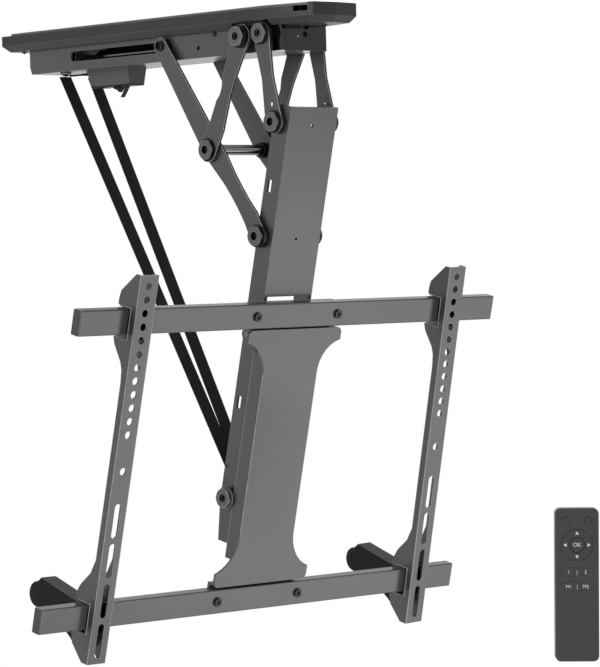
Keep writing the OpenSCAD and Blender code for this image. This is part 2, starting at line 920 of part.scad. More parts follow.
function column_bolt_places() = concat([for (s = [-1, 1]) [s * column_bolt_x, 0]],
    [for (s = [-1, 1], g = column_bolt_gaps) [s * column_bolt_x, lower + g]]);

module column_bolts() {
    rear = web_front + column_t;
    color("#6e7174") on_column() for (p = column_bolt_places()) {
        front = p[1] < 0 ? web_front - column_t : rear_flange;
        rod_y(p, column_bolt_r, front, rear);
        rod_y(p, column_bolt_head_r, rear, rear + column_bolt_head);
        if (p[1] < 0) rod_y(p, column_bolt_head_r, front - column_bolt_head, front);
    }
    color("#b9bcc0") on_column() rod_x(ear_at, cross_pin_r, -column_half - over, column_half + over);
}

// Centre plate between the bars, folded from one sheet
corner_r = 6;
plate_wide = 72;
waist = 42;
plate_top = -15.5;
plate_low_gap = 17.3;
plate_bottom = lower + plate_low_gap;
top_straight = -28;
low_straight_gap = 32.8;
low_straight = lower + low_straight_gap;
top_arc_r = 38;
top_arc_w = -67;
low_arc_r = 44;
low_arc_gap = 74.8;
low_arc_w = lower + low_arc_gap;
arc_steps = 96;
side_cut = 40;
top_lap = 12;
low_lap = 8;
flange_top = -45;
flange_gap = 45.8;
lip_gap = 80.8;
lip_len = 60;
lip_edge = 7;

module centre_outline() {
    difference() {
        union() {
            translate([0, (plate_top + top_straight - top_lap) / 2])
                round_rect(2 * plate_wide, plate_top - top_straight + top_lap, corner_r);
            translate([0, (plate_bottom + low_straight + low_lap) / 2])
                round_rect(2 * plate_wide, low_straight - plate_bottom + low_lap, corner_r);
            polygon([[-plate_wide, low_straight], [plate_wide, low_straight], [waist, low_arc_w],
                [waist, top_arc_w], [plate_wide, top_straight], [-plate_wide, top_straight],
                [-waist, top_arc_w], [-waist, low_arc_w]]);
        }
        for (s = [-1, 1]) {
            translate([s * (waist + top_arc_r), top_arc_w]) circle(top_arc_r, $fn = arc_steps);
            translate([s * (waist + low_arc_r), low_arc_w]) circle(low_arc_r, $fn = arc_steps);
            translate([s > 0 ? waist : -waist - side_cut, low_arc_w])
                square([side_cut, top_arc_w - low_arc_w]);
        }
    }
}

module centre_plate() {
    shelf = plate_wide - corner_r;
    shelf_back = rear_flange + column_t;
    inner = column_bolt_x - lip_edge;
    color("#6c6f72") on_column() difference() {
        union() {
            plate_y(face_front, face_front + column_t) centre_outline();
            block([-shelf, face_front, plate_top - column_t], [shelf, shelf_back, plate_top]);
            block([-shelf, rear_flange, plate_top - column_t], [shelf, shelf_back, bar_h / 2]);
            block([-shelf, face_front, plate_bottom], [shelf, shelf_back, plate_bottom + column_t]);
            block([-shelf, rear_flange, lower - bar_h / 2], [shelf, shelf_back, plate_bottom + column_t]);
            for (s = [-1, 1]) {
                block([s > 0 ? waist - column_t : -waist, face_front, lower + flange_gap],
                    [s > 0 ? waist : column_t - waist, web_front, flange_top]);
                block([s > 0 ? inner : -waist, web_front - column_t, lower + lip_gap],
                    [s > 0 ? waist : -inner, web_front, lower + lip_gap + lip_len]);
            }
        }
        for (s = [-1, 1], w = [0, lower])
            rod_y([s * bar_bolt_x, w], bar_bolt_r, face_front - over, web_front + over);
        for (p = column_bolt_places()) rod_y(p, column_bolt_r, rear_flange - over, web_front + over);
    }
}

pad_half = 33;
pad_h = 24;
pad_corner = 4;

module spacer_pad() {
    color("#2a2b2d") on_column() difference() {
        plate_y(rear_flange + column_t, web_front) round_rect(2 * pad_half, pad_h, pad_corner);
        for (s = [-1, 1]) rod_y([s * column_bolt_x, 0], column_bolt_r, rear_flange, web_front + over);
    }
}

// Screen bars, with plastic caps in their ends
end_cap_plug = 12;

module screen_bar(w) {
    half = bar_len / 2 - end_cap_t;
    on_column() difference() {
        plate_x(-half, half) difference() {
            translate([bar_front + bar_d / 2, w]) round_rect(bar_d, bar_h, bar_corner);
            translate([bar_front + bar_d / 2, w])
                square([bar_d - 2 * bar_wall, bar_h - 2 * bar_wall], center = true);
        }
        for (s = [-1, 1])
            rod_y([s * bar_bolt_x, w], bar_bolt_r, bar_front - over, bar_front + bar_d + over);
    }
}

module top_bar() {
    color("#696c6f") screen_bar(0);
}

module lower_bar() {
    color("#696c6f") screen_bar(lower);
}

module bar_end_caps() {
    seat = bar_len / 2 - end_cap_t;
    color("#2c2d2f") on_column() both_sides() for (w = [0, lower]) {
        plate_x(seat, bar_len / 2)
            translate([bar_front + bar_d / 2, w]) round_rect(bar_d, bar_h, bar_corner);
        plate_x(seat - end_cap_plug, seat) translate([bar_front + bar_d / 2, w])
            square([bar_d - 2 * bar_wall, bar_h - 2 * bar_wall], center = true);
    }
}

bar_bolt_head_r = 5.25;
bar_bolt_head = 2.6;
bar_bolt_socket_r = 2.3;
bar_bolt_socket = 1.7;
bar_nut_r = 5.8;
bar_nut = 5;

module bar_bolts() {
    head = bar_front - bar_bolt_head;
    seat = rear_flange + column_t;
    color("#7b7e81") on_column() for (s = [-1, 1], w = [0, lower]) {
        difference() {
            rod_y([s * bar_bolt_x, w], bar_bolt_head_r, head, bar_front);
            translate([s * bar_bolt_x, head - over, w]) rotate([-90, 0, 0])
                cylinder(r = bar_bolt_socket_r, h = over + bar_bolt_socket, $fn = 6);
        }
        rod_y([s * bar_bolt_x, w], bar_bolt_r, bar_front, seat + bar_nut);
        translate([s * bar_bolt_x, seat, w]) rotate([-90, 0, 0])
            cylinder(r = bar_nut_r, h = bar_nut, $fn = 6);
    }
}

// Bolt at the foot of the column, with the sleeve that the straps pass round
strap_bolt_r = 4;
strap_spacer_r = 9.5;
strap_washer = 1.9;

module strap_bolt() {
    sleeve = column_half - column_t - clear;
    outer = swing_in - strap_washer;
    on_column() {
        color("#6e7174") both_sides() socket_cap(strap_foot_at, swing_in);
        color("#9da1a4") {
            rod_x(strap_foot_at, strap_bolt_r, -swing_in, swing_in);
            rod_x(strap_foot_at, sleeve_r, -sleeve, sleeve);
        }
        color("#1b1c1d") both_sides() {
            ring_x(strap_foot_at, strap_spacer_r, strap_bolt_r, column_half, outer);
            ring_x(strap_foot_at, washer_r, strap_bolt_r, outer, swing_in);
        }
    }
}

// Screen arms: the side flanges hook over both bars, on black plastic liners
arm_top = 53.7;
arm_foot_drop = 51.2;
arm_bottom = lower - arm_foot_drop;
arm_corner = 2;
first_hole = 41.75;
hole_count = 12;
lone_gap = 40.75;
lone_hole = first_hole - (hole_count - 1) * hole_pitch - lone_gap;
slots_gap = 36.2;
slots_drop = 44.1;
slot_web = 6.2;
slot_count = 4;
slots_high = lone_hole - slots_gap;
slot_step = (slots_high - lower + slots_drop + slot_web) / slot_count;
slot_len = slot_step - slot_web;
flange_depth = 33.2;
flange_foot = 10.6;
flange_tip = 7.9;
upper_shares = [[0.301, -2.228], [0.337, -1.849], [0.437, -1.568], [0.84, -0.982],
    [0.934, -0.702], [0.907, 0.825], [0.855, 1.109]];
lower_shares = [[0.895, -1.196], [1, -0.72], [1, 0.821], [0.873, 1.151],
    [0.753, 1.326], [0.464, 1.726], [0.301, 2.274]];
hook_floor = 8.5;
hook_play = 3.6;
hook_under = 3.55;
liner_t = 1.6;
liner_play = 0.15;
liner_reach = 6;
liner_rim = 0.5;
hook_h = bar_h + hook_play + 2 * liner_t;
hook_drop = bar_h / 2 + hook_under + liner_t;
lever_pin_r = 2.5;

module flange_outline() {
    difference() {
        polygon(concat([[0, arm_bottom], [flange_foot, arm_bottom]],
            [for (s = lower_shares) [s[0] * flange_depth, lower + s[1] * bar_h]],
            [for (s = upper_shares) [s[0] * flange_depth, s[1] * bar_h]],
            [[flange_tip, arm_top], [0, arm_top]]));
        for (w = [0, lower]) translate([hook_floor, w - hook_drop]) square([flange_depth, hook_h]);
    }
}

module screen_arm(splay) {
    half = arm_w / 2;
    rotate([0, splay, 0]) {
        color("#6c6f72") difference() {
            union() {
                plate_y(0, arm_t) translate([0, (arm_top + arm_bottom) / 2])
                    round_rect(arm_w, arm_top - arm_bottom, arm_corner);
                both_sides() plate_x(half - arm_t, half) flange_outline();
            }
            for (k = [0:hole_count - 1])
                rod_y([0, first_hole - k * hole_pitch], hole_d / 2, -over, arm_t + over);
            rod_y([0, lone_hole], hole_d / 2, -over, arm_t + over);
            for (k = [0:slot_count - 1]) plate_y(-over, arm_t + over)
                translate([0, slots_high - slot_len / 2 - k * slot_step])
                    rotate(90) round_slot(slot_len, hole_d);
            rod_x(lever_pivot, lever_pin_r, -half - over, half + over);
        }
        color("#1b1c1d") for (w = [0, lower]) hook_liner(w, abs(splay));
        color("#8d9194") rod_x(lever_pivot, lever_pin_r, -half, half);
    }
}

// Liner in a hook: it bears on the bar's top and clears the bar's front
module hook_liner(w, splay) {
    wide = arm_w / 2 + liner_rim;
    low = w - hook_drop + liner_t;
    bear = w + bar_h / 2 + arm_w / 2 * sin(splay) + liner_play;
    plate_x(-wide, wide) difference() {
        translate([hook_floor, w - hook_drop]) square([bar_d + liner_reach, hook_h]);
        translate([bar_front - clear, low]) square([bar_d + liner_reach, bear - low]);
    }
}

module screen_arm_left() {
    on_column() translate([-arm_x, 0, 0]) screen_arm(splay_left);
}

module screen_arm_right() {
    on_column() translate([arm_x, 0, 0]) screen_arm(-splay_right);
}

// Lock lever: it stands behind the lower bar and swings down to free the screen arm
lever_drop = 31.2;
lever_pivot = [22, lower - lever_drop];
lever_len = 90;
lever_eye_r = 7;
lever_elbow_r = 6;
lever_elbow_share = [0.111, 0.044];
lever_shares = [[0.069, 0.067], [0.133, -0.011], [0.422, 0.133], [0.904, 0.194],
    [0.999, 0.372], [0.836, 0.572], [0.156, 0.483], [0.069, 0.456]];
lever_pad_share = [0.878, 0.344];
lever_pad_r = 14.5;
lever_pad_inset = 1.5;
lever_gap = 0.35;
lever_wall = 2.5;
lever_web = [2.5, 3];

module lever_outline() {
    tapered_bar(lever_pivot, lever_eye_r, lever_pivot + lever_len * lever_elbow_share, lever_elbow_r);
    polygon([for (s = lever_shares) lever_pivot + lever_len * s]);
}

module lock_lever() {
    half = arm_w / 2 - arm_t - lever_gap;
    pad = half - lever_pad_inset;
    difference() {
        union() {
            difference() {
                plate_x(-half, half) lever_outline();
                plate_x(lever_wall - half, half - lever_wall) translate(-lever_web) lever_outline();
            }
            plate_x(-pad, pad) translate(lever_pivot + lever_len * lever_pad_share) circle(lever_pad_r);
        }
        rod_x(lever_pivot, lever_pin_r + rod_play, -half - over, half + over);
    }
}

module lock_lever_left() {
    color("#28292b") on_column() translate([-arm_x, 0, 0]) rotate([0, splay_left, 0]) lock_lever();
}

module lock_lever_right() {
    color("#28292b") on_column() translate([arm_x, 0, 0]) rotate([0, -splay_right, 0]) lock_lever();
}

// Remote control, standing upright beside the mount
remote_foot = [216.2, -396.8, -744];
remote_turn = -44.16;
remote_lean = 1.4;
remote_face = -remote_d / 2;
remote_corner = 6.5;
shell_t = 2;
split_y = 1;
key_proud = 0.6;
key_back = -4.6;
board_front = -3.4;
board_t = 1.6;
key_drops = [14.1, 41.3, 72, 88.2];
round_key_at = [13, remote_h - key_drops[0]];
round_key_r = 4.9;
ring_z = remote_h - key_drops[1];
ring_r = 18.2;
ok_r = 8.3;
pill_w = 36.8;
pill_h = 10.1;
rocker_pin_y = -5.5;
rocker_pin_r = 1;
rocker_reach = 1.5;
number_z = remote_h - key_drops[2];
memory_z = remote_h - key_drops[3];
grip_z = 40;
grip_step = 8;
grip_w = 5;
grip_h = 1.6;
grip_depth = 0.6;

module remote_place() {
    translate(remote_foot) rotate([0, 0, remote_turn]) rotate([0, remote_lean, 0]) children();
}

module remote_slab(y0, y1, inset) {
    plate_y(y0, y1) translate([0, remote_h / 2])
        round_rect(remote_w - 2 * inset, remote_h - 2 * inset, remote_corner - inset);
}

module remote_front() {
    face = remote_face;
    color("#4a4c4e") remote_place() difference() {
        remote_slab(face, split_y, 0);
        remote_slab(face + shell_t, split_y + over, shell_t);
        for (s = [-1, 1]) rod_y([s * round_key_at[0], round_key_at[1]], round_key_r, face - over, 0);
        rod_y([0, ring_z], ring_r, face - over, 0);
        for (z = [number_z, memory_z]) plate_y(face - over, 0) translate([0, z]) round_slot(pill_w, pill_h);
    }
}

module remote_back() {
    color("#35373a") remote_place() difference() {
        remote_slab(split_y, remote_d / 2, 0);
        remote_slab(split_y - over, remote_d / 2 - shell_t, shell_t);
        for (k = [-1:1]) plate_y(remote_d / 2 - grip_depth, remote_d / 2 + over)
            translate([k * grip_step, grip_z]) round_slot(grip_w, grip_h);
    }
}

module remote_board() {
    color("#2f6b46") remote_place()
        plate_y(board_front, board_front + board_t) translate([0, remote_h / 2])
            square([remote_w - 2 * shell_t, remote_h - 2 * shell_t - 2 * remote_corner], center = true);
}

module key_at(x, z) {
    remote_place() plate_y(remote_face - key_proud, key_back) translate([x, z]) children();
}

module round_key_left() {
    color("#55585a") key_at(-round_key_at[0], round_key_at[1]) circle(round_key_r - key_play);
}

module round_key_right() {
    color("#55585a") key_at(round_key_at[0], round_key_at[1]) circle(round_key_r - key_play);
}

module direction_ring() {
    color("#4a4c4e") key_at(0, ring_z) difference() {
        circle(ring_r - key_play);
        circle(ok_r + key_play);
    }
}

module ok_key() {
    color("#55585a") key_at(0, ring_z) circle(ok_r);
}

// Key that rocks on an upright pin behind the remote's face
module rocker_key(z) {
    reach = pill_h / 2 + rocker_reach;
    color("#4a4c4e") {
        key_at(0, z) round_slot(pill_w - 2 * key_play, pill_h - 2 * key_play);
        remote_place() rod_z([0, rocker_pin_y], rocker_pin_r, z - reach, z + reach);
    }
}

module number_key() {
    rocker_key(number_z);
}

module memory_key() {
    rocker_key(memory_z);
}

ceiling_plate();
rail_screws();
cover_left();
cover_right();
cover_screws();
rail_channel();
rail_end_cap();
status_led();
power_socket();
drive_motor();
gearbox();
lead_screw();
screw_bearing();
control_box();
control_box_lid();
strap_knobs();
strap_left();
strap_right();
rail_axles();
rail_axle_caps();
rail_axle_washers();
slider_block();
slider_nut();
slider_pins();
drive_arm_left();
drive_arm_right();
column_pin();
column_pin_caps();
column_pin_washers();
swing_link_left();
swing_link_right();
cross_tube();
cross_tube_caps();
cross_tube_washers();
stay_link_left();
stay_link_right();
stay_bolts();
stay_washers();
column_channel();
centre_plate();
spacer_pad();
column_bolts();
top_bar();
lower_bar();
bar_end_caps();
bar_bolts();
strap_bolt();
screen_arm_left();
screen_arm_right();
lock_lever_left();
lock_lever_right();
remote_front();
remote_back();
remote_board();
round_key_left();
round_key_right();
direction_ring();
ok_key();
number_key();
memory_key();
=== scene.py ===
"""Looks of a motorised ceiling mount for a screen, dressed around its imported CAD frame."""

import json
import logging
import math
from collections.abc import Callable, Sequence
from dataclasses import dataclass
from enum import Enum

import bmesh
import bpy
from mathutils import Matrix, Vector

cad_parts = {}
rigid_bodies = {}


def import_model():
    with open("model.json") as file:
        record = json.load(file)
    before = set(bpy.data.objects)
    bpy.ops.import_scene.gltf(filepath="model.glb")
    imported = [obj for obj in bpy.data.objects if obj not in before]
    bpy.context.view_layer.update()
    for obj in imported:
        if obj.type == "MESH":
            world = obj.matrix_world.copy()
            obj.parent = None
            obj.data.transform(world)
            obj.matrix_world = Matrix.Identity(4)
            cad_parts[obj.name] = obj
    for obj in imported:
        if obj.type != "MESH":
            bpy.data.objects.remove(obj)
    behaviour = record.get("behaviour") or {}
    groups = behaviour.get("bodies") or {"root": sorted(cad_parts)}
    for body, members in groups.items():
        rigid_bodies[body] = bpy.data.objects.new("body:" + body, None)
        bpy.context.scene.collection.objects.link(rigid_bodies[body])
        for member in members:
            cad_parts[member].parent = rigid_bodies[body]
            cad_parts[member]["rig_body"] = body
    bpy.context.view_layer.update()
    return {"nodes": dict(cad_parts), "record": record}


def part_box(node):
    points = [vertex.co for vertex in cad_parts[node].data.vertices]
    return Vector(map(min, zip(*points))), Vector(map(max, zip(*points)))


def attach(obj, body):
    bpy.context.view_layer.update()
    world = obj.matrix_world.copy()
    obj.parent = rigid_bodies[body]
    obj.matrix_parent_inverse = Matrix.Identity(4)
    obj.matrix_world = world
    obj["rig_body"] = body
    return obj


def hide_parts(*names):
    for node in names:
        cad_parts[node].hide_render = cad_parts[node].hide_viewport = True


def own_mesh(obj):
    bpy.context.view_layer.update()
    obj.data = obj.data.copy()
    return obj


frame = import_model()

LOG = logging.getLogger("ceiling_mount")
MM = 0.001
FRAME_WIDTH_PX = 600
UP, ACROSS = Vector((0, 0, 1)), Vector((1, 0, 0))
# The share of surplus area that shows faces which cross themselves
TORN_SHARE = 0.0004
# Edges with a weight above this take the whole radius of a rounding
FULL_WEIGHT = 0.99
# How much lighter a finish is on its threads, on its edges where a highlight is painted, and on its dusty
# faces
THREAD_GAIN, EDGE_HIGHLIGHT_GAIN, DUST_GAIN = 1.9, 3.4, 2.6
THREAD_SHARE = 0.5
# How far a finish's roughness strays to either side
STRAY = 0.05
Pair = tuple[float, float]
Triple = tuple[float, float, float]
Piece, Mesh, Socket = bpy.types.Object, bpy.types.Mesh, bpy.types.NodeSocket
Face = bmesh.types.BMFace
Painter = Callable[[Face], int]
Edges = tuple[tuple[str, float], ...]


def turned(degrees: float, axis: str) -> Matrix:
    """A turn about one of the main axes, as a matrix."""
    return Matrix.Rotation(math.radians(degrees), 4, axis)


def shifted(x: float, y: float, z: float) -> Matrix:
    """A shift given in millimetres, as a matrix."""
    return Matrix.Translation(Vector((x, y, z)) * MM)


# The places of the leaning column, the screen arms and the remote control in the CAD
TILT = 14.0
ARM_PLACE = 241.5
SPLAYS = {"left": 0.39, "right": -2.13}
COLUMN = shifted(0, -197, -349) @ turned(TILT, "X")
REMOTE = shifted(216.2, -396.8, -744) @ turned(-44.16, "Z") @ turned(1.4, "Y")


def screen_arm_frame(side: str) -> Matrix:
    """The frame of a screen arm: x across it, y to the rear, z up along it."""
    sign = -1 if side == "left" else 1
    return COLUMN @ shifted(sign * ARM_PLACE, 0, 0) @ turned(SPLAYS[side], "Y")


class Feel(Enum):
    """How the surface of a finish feels, which sets its grain."""

    POWDER = "powder"
    MOULDED = "moulded"
    BRUSHED = "brushed"
    SMOOTH = "smooth"
    WOVEN = "woven"


def grey(level: float, warmth: float = 0.0) -> Triple:
    """A grey given as its display value from 0 to 255, made a little warmer or cooler."""
    linear = ((level / 255 + 0.055) / 1.055) ** 2.4
    return (linear * (1 + warmth), linear, linear * (1 - warmth))


class NodeWriter:
    """Short hand for placing and linking the nodes of a tree."""

    def __init__(self, tree: bpy.types.NodeTree) -> None:
        """Keeps the tree that is written."""
        self.tree = tree

    def fill(self, node: bpy.types.Node, inputs: dict[str | int, object]) -> None:
        """Sets a node's inputs.

        Args:
            node: the node.
            inputs: for each input a socket to link to it, or its own value.
        """
        for label, value in inputs.items():
            if isinstance(value, Socket):
                self.link(value, node.inputs[label])
            else:
                node.inputs[label].default_value = value

    def add(
        self, kind: str, inputs: dict[str | int, object] | None = None, **settings: object
    ) -> bpy.types.Node:
        """Places a node.

        Args:
            kind: the node's type.
            inputs: what each input takes, if it isn't left as it is.
            settings: properties of the node to set.

        Returns:
            The node.
        """
        node = self.tree.nodes.new(kind)
        for name, value in settings.items():
            setattr(node, name, value)
        self.fill(node, inputs or {})
        return node

    def link(self, source: Socket, target: Socket) -> None:
        """Links an output to an input."""
        self.tree.links.new(source, target)

    def math(self, operation: str, *values: object, clamp: bool = False) -> Socket:
        """Places a Math node.

        Args:
            operation: the node's operation.
            values: a socket or a number for each input.
            clamp: whether the result is kept between 0 and 1.

        Returns:
            The node's output.
        """
        node = self.add("ShaderNodeMath", dict(enumerate(values)), operation=operation, use_clamp=clamp)
        return node.outputs[0]

    def noise(self, scale: Socket | float, detail: float = 2.0) -> Socket:
        """Places noise on the object's own coordinates.

        Args:
            scale: a socket or a number for the noise's scale.
            detail: the noise's detail.

        Returns:
            The noise's value.
        """
        place = self.add("ShaderNodeTexCoord")
        inputs = {"Detail": detail, "Vector": place.outputs["Object"], "Scale": scale}
        return self.add("ShaderNodeTexNoise", inputs).outputs["Fac"]


class ShaderParts:
    """Node groups that several finishes share."""

    edge_gain = 7.0
    edge_floor = 0.35

    def __init__(self) -> None:
        """Builds each group once."""
        self.grain = self._grain_group()
        self.edges = self._edge_group()
        self.dust = self._dust_group()
        self.weave = self._weave_group()

    @staticmethod
    def _start(
        name: str, inputs: dict[str, float], outputs: Sequence[str]
    ) -> tuple[NodeWriter, bpy.types.NodeOutputs, bpy.types.NodeInputs]:
        """Makes an empty group with float inputs and outputs.

        Args:
            name: the group's name.
            inputs: each input's name and its default value.
            outputs: the names of the outputs.

        Returns:
            The writer of the group, what it is given and what it makes.
        """
        tree = bpy.data.node_groups.new(name, "ShaderNodeTree")
        kind = "NodeSocketFloat"
        for label, value in inputs.items():
            tree.interface.new_socket(label, in_out="INPUT", socket_type=kind).default_value = value
        for label in outputs:
            tree.interface.new_socket(label, in_out="OUTPUT", socket_type=kind)
        writer = NodeWriter(tree)
        return writer, writer.add("NodeGroupInput").outputs, writer.add("NodeGroupOutput").inputs

    def _grain_group(self) -> bpy.types.NodeTree:
        """Two sizes of noise: a fine grain and a broad, faint cloud."""
        inputs = {"Fine": 2200.0, "Broad": 9.0}
        writer, given, made = self._start("surface grain", inputs, ("Height", "Cloud"))
        writer.link(writer.noise(given["Fine"]), made["Height"])
        writer.link(writer.noise(given["Broad"], 3.0), made["Cloud"])
        return writer.tree

    def _edge_group(self) -> bpy.types.NodeTree:
        """A mask that is bright on edges, broken up by noise: a painted highlight along them."""
        writer, given, made = self._start("worn edges", {"Reach": 0.0011, "Break up": 160.0}, ("Mask",))
        bevel = writer.add("ShaderNodeBevel", {"Radius": given["Reach"]}, samples=4).outputs["Normal"]
        normal = writer.add("ShaderNodeNewGeometry").outputs["True Normal"]
        match = writer.add("ShaderNodeVectorMath", {0: bevel, 1: normal}, operation="DOT_PRODUCT")
        apart = writer.math("SUBTRACT", 1.0, match.outputs["Value"], clamp=True)
        strong = writer.math("MULTIPLY", apart, self.edge_gain, clamp=True)
        broken = writer.math("ADD", writer.noise(given["Break up"]), self.edge_floor, clamp=True)
        writer.link(writer.math("MULTIPLY", strong, broken), made["Mask"])
        return writer.tree

    def _dust_group(self) -> bpy.types.NodeTree:
        """A mask that is bright on faces that look up, where dust settles."""
        writer, given, made = self._start("settled dust", {"Amount": 0.3, "Patch": 40.0}, ("Mask",))
        normal = writer.add("ShaderNodeNewGeometry").outputs["Normal"]
        rise = writer.add("ShaderNodeSeparateXYZ", {0: normal}).outputs["Z"]
        patch = writer.math("MULTIPLY", rise, writer.noise(given["Patch"]), clamp=True)
        writer.link(writer.math("MULTIPLY", patch, given["Amount"]), made["Mask"])
        return writer.tree

    def _weave_group(self) -> bpy.types.NodeTree:
        """A twill weave on the piece's own UV map, whose unit is a millimetre."""
        writer, given, made = self._start("webbing weave", {"Warp": 1.3, "Weft": 0.8}, ("Height", "Mask"))
        chart = writer.add("ShaderNodeUVMap", uv_map="weave")
        split = writer.add("ShaderNodeSeparateXYZ", {0: chart.outputs["UV"]})
        lean = writer.math("DIVIDE", split.outputs["X"], given["Warp"])
        rise = writer.math("DIVIDE", split.outputs["Y"], given["Weft"])
        twill = writer.math("ADD", lean, writer.math("MULTIPLY", rise, 0.5))
        ribs, threads = (writer.math("PINGPONG", value, 0.5) for value in (twill, rise))
        height = writer.math("ADD", ribs, threads)
        writer.link(height, made["Height"])
        writer.link(writer.math("MULTIPLY", height, 0.8, clamp=True), made["Mask"])
        return writer.tree


@dataclass(frozen=True)
class Finish:
    """One finish of the mount, made into a node material on demand."""

    name: str
    slot: str
    colour: Triple
    roughness: float
    # how much of the painted highlight shows along the edges
    edge_highlight: float
    dust: float
    feel: Feel = Feel.POWDER
    metallic: float = 0.0
    fine: float = 2200.0
    bump_mm: float = 0.01
    cloud: float = 0.06
    coat: float = 0.0
    specular: float = 0.5

    def build(self, parts: ShaderParts) -> bpy.types.Material:
        """Makes the material.

        Args:
            parts: the shared node groups.

        Returns:
            A node material.
        """
        material = bpy.data.materials.new(self.name)
        material.use_nodes = True
        writer = NodeWriter(material.node_tree)
        grain = writer.add("ShaderNodeGroup", {"Fine": self.fine}, node_tree=parts.grain)
        edges = writer.add("ShaderNodeGroup", node_tree=parts.edges)
        dust = writer.add("ShaderNodeGroup", {"Amount": self.dust}, node_tree=parts.dust)
        base = self._tone(writer, grain.outputs["Cloud"])
        height = grain.outputs["Height"]
        if self.feel is Feel.WOVEN:
            weave = writer.add("ShaderNodeGroup", node_tree=parts.weave)
            height = weave.outputs["Height"]
            base = self._blend(writer, base, weave.outputs["Mask"], THREAD_SHARE, THREAD_GAIN)
        if self.feel is Feel.BRUSHED:
            height = self._brushing(writer)
        # a lighter tone along the edges: a painted highlight
        highlit = self._blend(writer, base, edges.outputs["Mask"], self.edge_highlight, EDGE_HIGHLIGHT_GAIN)
        spread = writer.add("ShaderNodeMapRange", {
            "Value": grain.outputs["Cloud"],
            "To Min": max(0.02, self.roughness - STRAY),
            "To Max": min(1.0, self.roughness + STRAY),
        })
        strength = 0.3 if self.feel is Feel.SMOOTH else 1.0
        bump = writer.add(
            "ShaderNodeBump", {"Height": height, "Distance": self.bump_mm * MM, "Strength": strength})
        writer.fill(material.node_tree.nodes["Principled BSDF"], {
            "Base Color": self._blend(writer, highlit, dust.outputs["Mask"], 1.0, DUST_GAIN),
            "Metallic": self.metallic,
            "Roughness": spread.outputs["Result"],
            "Normal": bump.outputs["Normal"],
            "Coat Weight": self.coat,
            "Specular IOR Level": self.specular,
        })
        return material

    def _tone(self, writer: NodeWriter, cloud: Socket) -> Socket:
        """The base colour, varied a little by the broad cloud."""
        ramp = writer.add("ShaderNodeValToRGB", {"Fac": cloud})
        low, high = ramp.color_ramp.elements
        low.position, high.position = 0.3, 0.7
        low.color = (*(c * (1 - self.cloud) for c in self.colour), 1)
        high.color = (*(c * (1 + self.cloud) for c in self.colour), 1)
        return ramp.outputs["Color"]

    def _blend(self, writer: NodeWriter, base: Socket, mask: Socket, share: float, gain: float) -> Socket:
        """Mixes a lighter tone of the finish over the base where a mask is bright.

        Args:
            writer: the material's nodes.
            base: the colour so far.
            mask: where the lighter tone shows.
            share: the largest share of the lighter tone.
            gain: how much lighter it is.

        Returns:
            The mixed colour.
        """
        lighter = (*(min(1.0, c * gain + 0.02) for c in self.colour), 1)
        inputs = {"Factor": writer.math("MULTIPLY", mask, share), "A": base, "B": lighter}
        return writer.add("ShaderNodeMix", inputs, data_type="RGBA").outputs["Result"]

    def _brushing(self, writer: NodeWriter) -> Socket:
        """Noise drawn out along X, as turning and brushing leave it."""
        place = writer.add("ShaderNodeTexCoord").outputs["Object"]
        drawn = writer.add("ShaderNodeMapping", {"Vector": place, "Scale": (0.02, 1.0, 1.0)})
        inputs = {"Scale": self.fine, "Vector": drawn.outputs["Vector"]}
        return writer.add("ShaderNodeTexNoise", inputs).outputs["Fac"]


# The finish of the rounded edges that goes with a finish: a lighter tone as a painted highlight along them,
# and a darker tone on the rubber keys' rims
RIMS = {
    "grey_coat": "coat_rim_highlight", "cap_coat": "cap_rim_highlight", "grey_shell": "shell_rim_highlight", "box_coat": "box_rim_highlight",
    "lever_plastic": "lever_rim_highlight", "end_plastic": "end_rim_highlight", "remote_plastic": "remote_rim_highlight",
    "key_rubber": "key_rim",
}


